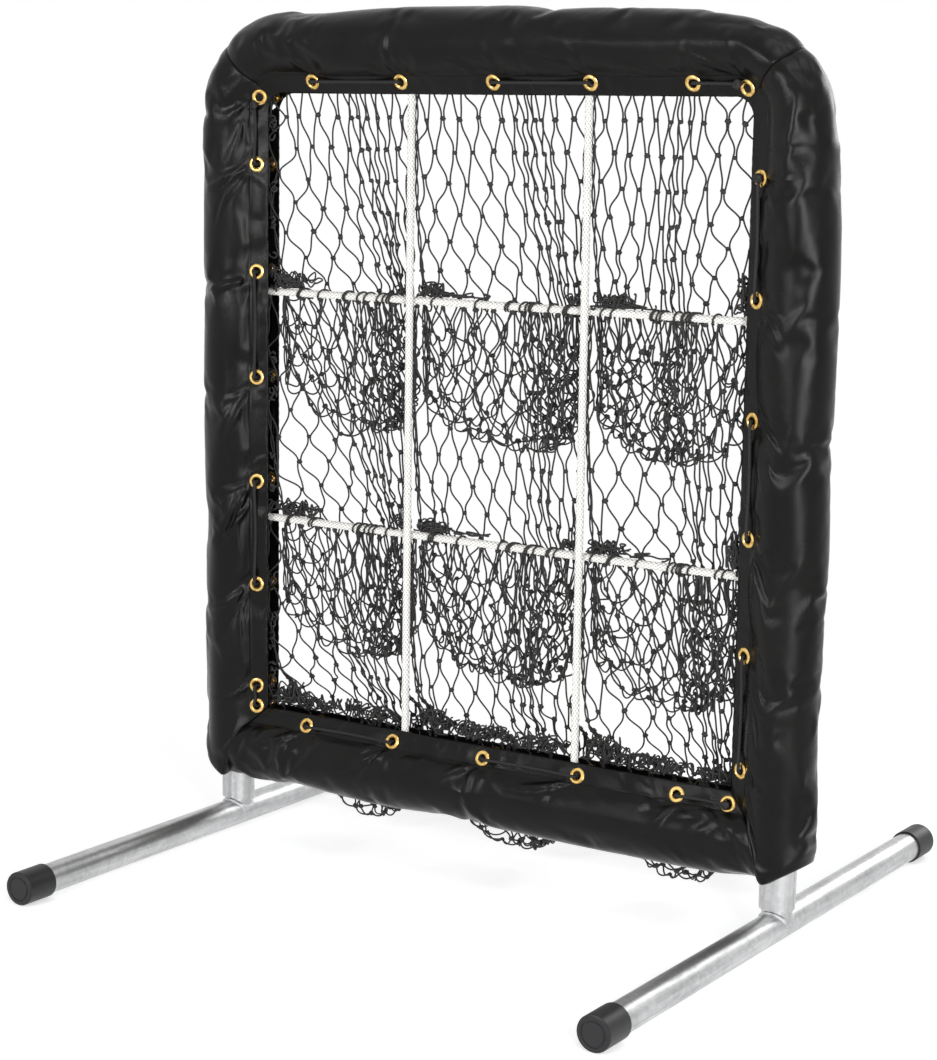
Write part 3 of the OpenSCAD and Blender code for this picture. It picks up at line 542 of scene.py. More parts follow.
sleeves = {}
for side in ("left", "right", "top", "bottom"):
    start, finish = sleeve_ends(side)
    rows = int(np.max(finish - start) / 5.6)
    s = start + (finish - start) * np.linspace(0, 1, rows + 1)[:, None]
    rest = lay_out(side, start, s, rows)
    spots = rest.reshape(-1, 3)
    index = np.arange((rows + 1) * columns).reshape(rows + 1, columns)
    faces = np.stack([index[:-1, :-1], index[:-1, 1:], index[1:, 1:], index[1:, :-1]],
                     -1).reshape(-1, 4).tolist()
    if side in ("left", "right"):
        spots = close_hem(side, spots, faces, index)
    extra = len(spots) - index.size

    # Holes under the grommets, with the vinyl held still round them
    seats = place(side, np.array(grommets_at[side]), np.full(len(grommets_at[side]), grommet_u), 0.0)
    near = np.full(len(spots), 1e9)
    by_grommet = np.concatenate([np.tile(flap | (np.abs(section_y) < 24), rows + 1),
                                 np.zeros(extra, bool)])
    drop = set()
    centres = spots[np.array(faces)].mean(1)
    for seat in seats:
        for face in (-1, 1):
            eye = np.array([seat[0], face * grommet_y, seat[2]])
            far = np.linalg.norm(spots - eye, axis=1)
            near = np.minimum(near, np.where(by_grommet, far, 1e9))
            drop |= set(np.nonzero(np.linalg.norm(centres - eye, axis=1) < 4.9)[0].tolist())
    faces = [f for k, f in enumerate(faces) if k not in drop]

    mesh = bpy.data.meshes.new(side + "_sleeve")
    mesh.from_pydata((spots * 0.001).tolist(), [], faces)
    sleeve = bpy.data.objects.new(side + "_sleeve", mesh)
    bpy.context.collection.objects.link(sleeve)
    on_sheet = np.stack([s, np.tile(across, (rows + 1, 1))], -1).reshape(-1, 2)
    on_hem = np.tile([float(start.min()), across[-1] / 2], (extra, 1))
    flat = np.concatenate([on_sheet, on_hem]) * 0.001
    mesh.uv_layers.new(name="sheet")
    mesh.uv_layers["sheet"].data.foreach_set("uv", flat[[v for f in faces for v in f]].ravel())
    shell = bmesh.new()
    shell.from_mesh(mesh)
    bmesh.ops.delete(shell, geom=[v for v in shell.verts if not v.link_faces], context="VERTS")
    bmesh.ops.recalc_face_normals(shell, faces=shell.faces)
    halfway = np.array((start.max() + finish.min()) / 2)
    on_back = Vector(place(side, halfway, np.array(-cover_r), 0.0) * 0.001)
    outside = Vector(place(side, halfway, np.array(-60.0), 0.0) * 0.001)
    back_face = min(shell.faces, key=lambda f: (f.calc_center_median() - on_back).length)
    if back_face.normal.dot(outside - back_face.calc_center_median()) < 0:
        bmesh.ops.reverse_faces(shell, faces=shell.faces)
    shell.to_mesh(mesh)
    shell.free()

    # How firmly each point is held: the ends, the hem and the flaps' edges hold the sleeve
    used = np.zeros(len(spots), bool)
    used[np.array([v for f in faces for v in f])] = True
    row_of = np.concatenate([np.repeat(np.arange(rows + 1), columns), np.full(extra, -1)])
    column_of = np.concatenate([np.tile(np.arange(columns), rows + 1), np.full(extra, -1)])
    on_edge = (column_of == 0) | (column_of == columns - 1)
    held = np.zeros(len(spots))
    held[near < 15.0] = 1.0
    held[(row_of <= 1) | (row_of >= rows - 1 + (side == "bottom"))] = 1.0
    held[on_edge] = np.maximum(held[on_edge], 0.75)
    group = sleeve.vertex_groups.new(name="held")
    for k, value in enumerate(held[used].tolist()):
        if value > 0:
            group.add([k], value, "REPLACE")

    along = np.gradient(rest, axis=0)
    along /= np.linalg.norm(along, axis=-1)[..., None]
    out = np.cross(np.gradient(rest, axis=1), along)
    out /= np.maximum(np.linalg.norm(out, axis=-1)[..., None], 1e-9)
    centre = (rows // 2, columns // 2)
    if out[centre] @ (place(side, s[rows // 2, 26], -60.0, 0.0) - rest[centre]) < 0:
        out = -out
    out = np.concatenate([out.reshape(-1, 3), np.zeros((extra, 3))])
    give_in = np.ones_like(s)
    if side in ("top", "right"):
        give_in = 1 - 0.75 * np.minimum(1, 3 * slack_at(side, s))
    sleeves[side] = dict(
        piece=sleeve, spots=spots[used], out=out[used],
        start=float(start.max()), finish=float(finish.min()),
        flap=np.concatenate([np.tile(flap, rows + 1), np.ones(extra, bool)])[used],
        give_in=np.concatenate([give_in.ravel(), np.ones(extra)])[used])
    cloth = sleeve.modifiers.new("cloth", "CLOTH")
    for setting, value in dict(
        quality=6, mass=0.2, tension_stiffness=30, compression_stiffness=30,
        shear_stiffness=12, bending_stiffness=1.2, air_damping=3,
        shrink_min=-0.018 if side == "top" else -0.035,
        use_pressure=True, uniform_pressure_force=1.5, vertex_group_mass="held",
    ).items():
        setattr(cloth.settings, setting, value)
    cloth.settings.effector_weights.gravity = 0.0
    cloth.point_cache.frame_end = 28

for number in range(1, 29):
    bpy.context.scene.frame_set(number)
graph = bpy.context.evaluated_depsgraph_get()
for side, made in sleeves.items():
    sleeve = made["piece"]
    moved = read(sleeve.evaluated_get(graph).to_mesh().vertices, "co") * 1000.0
    sleeve.evaluated_get(graph).to_mesh_clear()
    sleeve.modifiers.clear()
    # The cloth may rise a few millimetres off its foam, and hardly sink into it
    shift = moved - made["spots"]
    rise = (shift * made["out"]).sum(1)
    slide = shift - rise[:, None] * made["out"]
    low = np.where(made["flap"], -0.3, -1.7 * made["give_in"])
    high = np.where(made["flap"], 2.2, 5.0)
    rise = np.where(rise > 0, high * np.tanh(rise / high), low * np.tanh(rise / low))
    size = np.linalg.norm(slide, axis=1)
    slide *= np.minimum(1.0, 4.0 / np.maximum(size, 1e-6))[:, None]
    settled = made["spots"] + slide + rise[:, None] * made["out"]
    sleeve.data.vertices.foreach_set("co", (settled * 0.001).ravel())
    sleeve.vertex_groups.clear()
    sleeve.data.update()
    smooth = sleeve.modifiers.new("smooth", "SUBSURF")
    smooth.levels = 1
    smooth.render_levels = 1
    bpy.ops.object.select_all(action="DESELECT")
    bpy.context.view_layer.objects.active = sleeve
    sleeve.select_set(True)
    bpy.ops.object.modifier_apply(modifier="smooth")

    # The creases that fan out from the grommets, pressed into the finer mesh
    mesh = sleeve.data
    corner_of = read(mesh.loops, "vertex_index", 1, int)[:, 0]
    on_sheet = np.zeros((len(mesh.vertices), 2))
    on_sheet[corner_of] = read(mesh.uv_layers["sheet"].data, "uv", 2) * 1000.0
    s, w = on_sheet[:, 0], on_sheet[:, 1]
    folds = creases(side, s, w, np.random.default_rng(len(side) * 7))
    folds *= np.clip((s - made["start"]) / 30, 0, 1) * np.clip((made["finish"] - s) / 30, 0, 1)
    facing = read(mesh.vertex_normals, "vector")
    settled = read(mesh.vertices, "co") + facing * np.clip(folds, -0.7, 4.0)[:, None] * 0.001
    mesh.vertices.foreach_set("co", settled.ravel())
    mesh.update()
    thick = sleeve.modifiers.new("thickness", "SOLIDIFY")
    thick.thickness = 0.001
    thick.offset = 0.0
    sleeve.data.materials.append(vinyl)
    sleeve.data.shade_smooth()
    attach(sleeve, "frame")
    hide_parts(side + "_cover")
bpy.context.scene.frame_set(1)


# ---- Grommets ----
# Rolled brass eyelets clamped through the flaps, bright on the roll and a little tarnished
# in the throat.
brass, tree, metal = new_material("brass grommet", {"Metallic": 1.0})
spot = add(tree, "ShaderNodeTexCoord")
cloud = add(tree, "ShaderNodeTexNoise", {"Scale": 220.0, "Detail": 4.0})
tone = two_tone(tree, 0.3, (0.50, 0.29, 0.07), 0.62, (0.88, 0.61, 0.22))
gloss = add(tree, "ShaderNodeMapRange", {"To Min": 0.36, "To Max": 0.16})
wire(tree,
     (spot.outputs["Object"], cloud.inputs["Vector"]), (cloud.outputs["Fac"], tone.inputs["Fac"]),
     (tone.outputs["Color"], metal.inputs["Base Color"]), (cloud.outputs["Fac"], gloss.inputs["Value"]),
     (gloss.outputs["Result"], metal.inputs["Roughness"]))
for side in ("left", "right", "top", "bottom"):
    finish_node(side + "_grommets", brass)


# ---- Lacing ----
# One black braided cord along each side, knotted at both ends and run in and out through the
# grommets, so that every other stitch shows in front.
def between(a, b, c, d, t):
    """Points from b to c, at shares t, on the smooth curve through a, b, c and d."""
    return 0.5 * (2 * b + (c - a) * t + (2 * a - 5 * b + 4 * c - d) * t**2
                  + (3 * b - a - 3 * c + d) * t**3)


def spline(points, step):
    """A smooth run through points, with samples about step apart."""
    points = np.asarray(points, float)
    extended = np.concatenate([[2 * points[0] - points[1]], points, [2 * points[-1] - points[-2]]])
    run = []
    for k in range(len(points) - 1):
        a, b, c, d = extended[k:k + 4]
        count = max(2, int(np.linalg.norm(c[:3] - b[:3]) / step))
        t = np.linspace(0, 1, count, endpoint=False)[:, None]
        run.append(between(a, b, c, d, t))
    return np.concatenate(run + [points[-1:]])


def sweep(paths, radius, sides, closed=False):
    """Tubes of equal point counts: paths (m, n, 3), radius a number, (n,) or (n, sides). Gives
    corners, faces, the place of each face corner along and round the tube, and the end faces."""
    paths = np.asarray(paths, float)
    m, n = paths.shape[:2]
    if closed:
        tangent = np.roll(paths, -1, 1) - np.roll(paths, 1, 1)
    else:
        tangent = np.gradient(paths, axis=1)
    tangent /= np.maximum(np.linalg.norm(tangent, axis=2, keepdims=True), 1e-9)
    steep = np.abs(tangent[:, :1, 2:]) >= 0.8
    start = np.where(steep, np.array([0.0, 1.0, 0.0]), np.array([0.0, 0.0, 1.0]))
    across = np.empty_like(paths)
    last = start[:, 0] - (start[:, 0] * tangent[:, 0]).sum(1, keepdims=True) * tangent[:, 0]
    for k in range(n):
        last = last - (last * tangent[:, k]).sum(1, keepdims=True) * tangent[:, k]
        last = last / np.maximum(np.linalg.norm(last, axis=1, keepdims=True), 1e-9)
        across[:, k] = last
    up = np.cross(tangent, across)
    angle = np.arange(sides) * 2 * math.pi / sides
    shape = (-1, 1) if np.ndim(radius) == 1 else np.shape(radius)
    size = np.broadcast_to(np.asarray(radius, float).reshape(shape), (n, sides))
    ring = across[:, :, None] * np.cos(angle)[:, None] + up[:, :, None] * np.sin(angle)[:, None]
    corners = (paths[:, :, None] + ring * size[None, :, :, None]).reshape(-1, 3)
    index = np.arange(m * n * sides).reshape(m, n, sides)
    ahead = np.roll(index, -1, 1) if closed else index[:, 1:]
    here = index if closed else index[:, :-1]
    quads = np.stack([here, np.roll(here, -1, 2), np.roll(ahead, -1, 2), ahead], -1).reshape(-1, 4)
    steps = np.linalg.norm(np.diff(paths, axis=1), axis=2)
    length = np.concatenate([np.zeros((m, 1)), np.cumsum(steps, 1)], 1)
    rows = here.shape[1]
    low = length[:, :rows]
    high = length[:, 1:] if not closed else np.concatenate([length[:, 1:], length[:, -1:] + 1.0], 1)
    v0 = np.broadcast_to(np.arange(sides) / sides, (m, rows, sides))
    v1 = v0 + 1.0 / sides
    l0 = np.broadcast_to(low[:, :, None], v0.shape)
    l1 = np.broadcast_to(high[:, :, None], v0.shape)
    places = np.stack([np.stack([l0, v0], -1), np.stack([l0, v1], -1), np.stack([l1, v1], -1),
                       np.stack([l1, v0], -1)], -2).reshape(-1, 4, 2)
    faces = quads.tolist()
    ends = []
    if not closed:
        ends = index[:, 0, ::-1].tolist() + index[:, -1].tolist()
    return corners, faces, places, ends


def assemble(name, parts, material, nodes):
    """One object from several swept parts. Its UV map "along" holds metres along each tube and
    the share of a turn round it."""
    corners, faces, places, base = [], [], [], 0
    for part in parts:
        corners.append(part[0])
        faces += [[v + base for v in f] for f in part[1]] + [[v + base for v in f] for f in part[3]]
        places.append(part[2].reshape(-1, 2))
        places.append(np.zeros((sum(len(f) for f in part[3]), 2)))
        base += len(part[0])
    mesh = bpy.data.meshes.new(name)
    mesh.from_pydata((np.concatenate(corners) * 0.001).tolist(), [], faces)
    layer = mesh.uv_layers.new(name="along")
    run = np.concatenate(places) * [0.001, 1.0]
    layer.data.foreach_set("uv", run.ravel())
    mesh.materials.append(material)
    mesh.shade_smooth()
    piece = bpy.data.objects.new(name, mesh)
    bpy.context.collection.objects.link(piece)
    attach(piece, "frame")
    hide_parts(*nodes)
    return piece


# The braid's colour is painted shade: the dark colour fills the hollows between the strands and the
# light one their crowns, by the same pattern that raises them.
braid_skin_painted_shade, into, out_of = new_group(
    "braid", {"Dark": "Color", "Light": "Color", "Cells": "Float", "Turns per metre": "Float"},
    {"Color": "Color", "Height": "Float"})
run = add(braid_skin_painted_shade, "ShaderNodeUVMap", uv_map="along")
split = add(braid_skin_painted_shade, "ShaderNodeSeparateXYZ")
lengthwise = add(braid_skin_painted_shade, "ShaderNodeMath", operation="MULTIPLY")
turning = add(braid_skin_painted_shade, "ShaderNodeMath", operation="MULTIPLY")
product = add(braid_skin_painted_shade, "ShaderNodeMath", operation="MULTIPLY")
wire(braid_skin_painted_shade,
     (run.outputs["UV"], split.inputs["Vector"]), (split.outputs["X"], lengthwise.inputs[0]),
     (into.outputs["Turns per metre"], lengthwise.inputs[1]),
     (split.outputs["Y"], turning.inputs[0]), (into.outputs["Cells"], turning.inputs[1]))
for number, operation in enumerate(("ADD", "SUBTRACT")):
    both = add(braid_skin_painted_shade, "ShaderNodeMath", operation=operation)
    angle = add(braid_skin_painted_shade, "ShaderNodeMath", {1: math.pi}, operation="MULTIPLY")
    wave = add(braid_skin_painted_shade, "ShaderNodeMath", operation="SINE")
    wire(braid_skin_painted_shade,
         (turning.outputs["Value"], both.inputs[0]), (lengthwise.outputs["Value"], both.inputs[1]),
         (both.outputs["Value"], angle.inputs[0]), (angle.outputs["Value"], wave.inputs[0]),
         (wave.outputs["Value"], product.inputs[number]))
hollow = add(braid_skin_painted_shade, "ShaderNodeMath", operation="ABSOLUTE")
rounded = add(braid_skin_painted_shade, "ShaderNodeMath", {1: 0.45}, operation="POWER")
shade = add(braid_skin_painted_shade, "ShaderNodeMapRange", {"From Min": 0.12, "From Max": 0.5})
tone = add(braid_skin_painted_shade, "ShaderNodeMix", data_type="RGBA")
wire(braid_skin_painted_shade,
     (product.outputs["Value"], hollow.inputs[0]), (hollow.outputs["Value"], rounded.inputs[0]),
     (rounded.outputs["Value"], shade.inputs["Value"]), (shade.outputs["Result"], tone.inputs[0]),
     (into.outputs["Dark"], tone.inputs[6]), (into.outputs["Light"], tone.inputs[7]),
     (tone.outputs[2], out_of.inputs["Color"]), (rounded.outputs["Value"], out_of.inputs["Height"]))


def braided(name, dark, light, rough, cells, pitch, depth, shine):
    """Braided cord: two sets of strands that wind both ways, cells round and pitch metres long, with
    painted shade in the hollows between them.
    """
    material, tree, yarn = new_material(name, {"Roughness": rough, "Specular IOR Level": shine})
    braid = add(tree, "ShaderNodeGroup", node_tree=braid_skin_painted_shade)
    give(braid, {"Dark": (*dark, 1), "Light": (*light, 1), "Cells": cells,
                 "Turns per metre": 1 / pitch})
    wire(tree, (braid.outputs["Color"], yarn.inputs["Base Color"]))
    raise_surface(tree, yarn, braid.outputs["Height"], 0.7, depth)
    return material


def strands_at(cells, sides, turns):
    """How far the strands of a braid stand out, from 0 to 1, on each side of each ring."""
    angle = np.arange(sides) / sides
    return np.abs(np.sin(math.pi * (cells * angle + turns))
                  * np.sin(math.pi * (cells * angle - turns)))


# The darker of its two colours is painted shade in the braid's hollows.
lace = braided("black braided cord", (0.0015, 0.0015, 0.0015), (0.017, 0.016, 0.016), 0.6, 3, 0.0058,
               0.0009, 0.3)
# Distances of the cord from the middle plane: over a grommet, on a flap and in a grommet
over, resting, neck = 21.67, 18.92, 13.92
lace_r, knot_r, lace_pitch = 2.0, 5.6, 5.8
knot = [(over + 5.6, knot_r * 0.3), (over + 4.4, knot_r * 0.85), (over + 2, knot_r),
        (over - 0.2, knot_r * 0.78), (over - 1.5, lace_r)]
for side, holes in grommets_at.items():
    last = len(holes) - 1
    route = [(holes[0], h, r) for h, r in knot]
    for k in range(last):
        a, b, face = holes[k], holes[k + 1], (-1 if k % 2 == 0 else 1)
        route += [(a, face * neck, lace_r), (a + 1, face * (over - 2.5), lace_r),
                  (a + 4.2, face * over, lace_r), ((a + b) / 2, face * resting, lace_r),
                  (b - 4.2, face * over, lace_r), (b - 1, face * (over - 2.5), lace_r),
                  (b, face * neck, lace_r)]
    face = 1 if last % 2 == 0 else -1
    route += [(holes[-1], face * h, r) for h, r in knot[::-1]]
    route = np.array(route)
    middle = place(side, route[:, 0], np.full(len(route), grommet_u), route[:, 1])
    run = spline(np.column_stack([middle, route[:, 2]]), 1.2)
    steps = np.linalg.norm(np.diff(run[:, :3], axis=0), axis=1)
    length = np.concatenate([[0], np.cumsum(steps)])[:, None]
    radius = np.maximum(run[:, 3:], 0.4) * (0.88 + 0.16 * strands_at(3, 16, length / lace_pitch)**0.45)
    assemble(side + "_lace", [sweep(run[None, :, :3], radius, 16)], lace,
             [side + "_lacing"])


# ---- White ropes ----
# Braided white rope, 9.5 mm: two uprights in front from the top rail to the bottom rail, and
# two cross ropes behind them from post to post. Each ends in an eye round its pipe.
# The grey-brown colour is painted shade in the hollows of the white braid.
white = braided("white braided rope", (0.25, 0.22, 0.18), (0.88, 0.87, 0.84), 0.8, 6, 0.0062,
                0.0008, 0.3)
rope_y, upright_x, cross_z = 4.9, 121.0, (694.0, 410.0)
rope_pitch, rail_eye, hoop_eye = 6.2, 22.75, 25.95


def rope(name, start, end, eyes):
    """A straight braided rope with eyes, each given by its middle, its axis and its radius."""
    start, end = np.array(start, float), np.array(end, float)
    steps = int(np.linalg.norm(end - start) / 1.05)
    path = start + (end - start) * np.linspace(0, 1, steps)[:, None]
    length = np.linspace(0, np.linalg.norm(end - start), steps)[:, None]
    parts = [sweep(path[None], 3.95 + 0.8 * strands_at(6, 32, length / rope_pitch)**0.45, 32)]
    for centre, axis, radius in eyes:
        turn = np.linspace(0, 2 * math.pi, 150, endpoint=False)
        flat = {"x": (0 * turn, np.cos(turn), np.sin(turn)),
                "z": (np.cos(turn), np.sin(turn), 0 * turn)}[axis]
        loop = np.array(centre, float) + radius * np.stack(flat, 1)
        parts.append(sweep(loop[None], 4.8, 16, closed=True))
    assemble(name + "_braid", parts, white, [name])


above_rail, inside_hoop = math.sqrt(rail_eye**2 - rope_y**2), math.sqrt(hoop_eye**2 - rope_y**2)
for name, x in (("left_upright_rope", -upright_x), ("right_upright_rope", upright_x)):
    rope(name, (x, -rope_y, rail_z + above_rail), (x, -rope_y, top_z - inside_hoop),
         [((x, 0, rail_z), "x", rail_eye), ((x, 0, top_z), "x", hoop_eye)])
for name, z in zip(("upper_cross_rope", "lower_cross_rope"), cross_z):
    rope(name, (-post_x + inside_hoop, rope_y, z), (post_x - inside_hoop, rope_y, z),
         [((-post_x, 0, z), "z", hoop_eye), ((post_x, 0, z), "z", hoop_eye)])


# ---- Net pockets ----
# Nine pockets of knotted black twine. Each is one net of diamonds that hangs behind its
# opening, runs down into a bag behind the rope and comes up to it, with its mouth looped over
# the rope. The knots settle under their own weight between bars of one length.
twine, tree, yarn = new_material("black net twine", {"Roughness": 0.72})
spot = add(tree, "ShaderNodeTexCoord")
fibres = add(tree, "ShaderNodeTexNoise", {"Scale": 650.0, "Detail": 3.0})
tone = two_tone(tree, 0.3, (0.006, 0.006, 0.006), 0.75, (0.028, 0.026, 0.025))
wire(tree, (spot.outputs["Object"], fibres.inputs["Vector"]),
     (fibres.outputs["Fac"], tone.inputs["Fac"]), (tone.outputs["Color"], yarn.inputs["Base Color"]))
raise_surface(tree, yarn, fibres.outputs["Fac"], 0.6, 0.0005)

net_tops = (946.2, 687.75, 403.75)
net_ropes = (*cross_z, 168.0)                   # the two cross ropes, and the lowest sleeve's top
bend_clear, rail_clear = 33.2, 45.0             # from the axes of the bends and of the bottom rail
rope_clear, loop_r, twine_r = 6.2, 6.1, 1.05


def middle_line(row):
    """The net's path (y, z) from its top to its mouth, half-way across a pocket."""
    top, cord = net_tops[row], net_ropes[row]
    drop, deep, y0 = cord + 12 - top, 62.0 if row < 2 else 90.0, 0.0 if row == 0 else rope_y
    line = [(y0, top), (8, top + drop / 4), (12, top + drop / 2),
            (25 if row < 2 else 24, top + drop * 0.75), (deep - (2 if row < 2 else 10), top + drop)]
    if row < 2:
        line += [(deep, cord - 57), (deep, cord - 113.5), (deep - 6, cord - 155),
                 (deep / 2 + 11, cord - 172), (28, cord - 155), (23, cord - 113.5),
                 (17, cord - 57), (11.15, cord)]
    else:
        line += [(88, cord - 28), (90, cord - 83), (86, cord - 129), (70, cord - 148), (51, cord - 118),
                 (50, cord - 50), (34, cord - 5), (12.6, cord - 1.4)]
    return np.array(line)


def side_line(row, y_side):
    """The net's path (y, z) at the sides of a pocket, where it stays flat and hardly bags."""
    top, cord = net_tops[row], net_ropes[row]
    line = [(0.0 if row == 0 else rope_y, top), (y_side, top + (cord - top) * 0.22),
            (y_side, top + (cord - top) * 0.45)]
    if row < 2:
        line += [(7, cord + 60), (12.5, cord + 9), (18, cord - 34), (23, cord - 76), (23, cord - 108),
                 (20, cord - 122), (16, cord - 104), (14, cord - 70), (12.6, cord - 32), (11.15, cord)]
    else:
        line += [(7, cord + 60), (14, cord + 36), (26, cord + 31), (37, cord + 20), (45, cord + 7),
                 (46, cord - 6), (40, cord - 13), (33, cord - 14), (25, cord - 10),
                 (12.6, cord - 1.4)]
    return np.array(line)


def curls_in(rng, count, centre, spread, small, large):
    """Small open loops of slack twine, scattered through a box round centre."""
    seats = np.array(centre) + np.clip(rng.normal(0, 0.5, (count, 3)), -1, 1) * spread
    frames = np.linalg.qr(rng.normal(0, 1, (count, 3, 3)))[0]
    angle = np.linspace(0, 1, 16)[None] * rng.uniform(1.3, 2.0, (count, 1)) * math.pi
    size = rng.uniform(small, large, (count, 1))
    narrow = size * rng.uniform(0.55, 1, (count, 1))
    climb = (angle - math.pi * 0.8) * rng.uniform(-1.6, 1.6, (count, 1))
    return (seats[:, None] + (size * np.cos(angle))[..., None] * frames[:, None, 0]
            + (narrow * np.sin(angle))[..., None] * frames[:, None, 1]
            + climb[..., None] * frames[:, None, 2])


def tangle(rng, strands, bends, centre, spread, local):
    """Slack strands that wander in open loops, each over a stretch of the box round centre."""
    wander = np.cumsum(rng.normal(0, 1, (strands, bends)), 1)
    wander -= wander.mean(1, keepdims=True)
    wander /= np.abs(wander).max(1, keepdims=True)
    lengthways = wander * local / spread[0] + rng.uniform(-1, 1, (strands, 1)) * (1 - local / spread[0])
    seats = np.stack([lengthways, rng.uniform(-1, 1, (strands, bends)),
                      rng.normal(0, 0.62, (strands, bends))], -1)
    seats = np.array(centre) + np.clip(seats, -1.25, 1.25) * spread
    a, b, c, d = (seats[:, k:bends - 3 + k, None] for k in range(4))
    t = np.linspace(0, 1, 6, endpoint=False)[:, None]
    return between(a, b, c, d, t).reshape(strands, -1, 3)


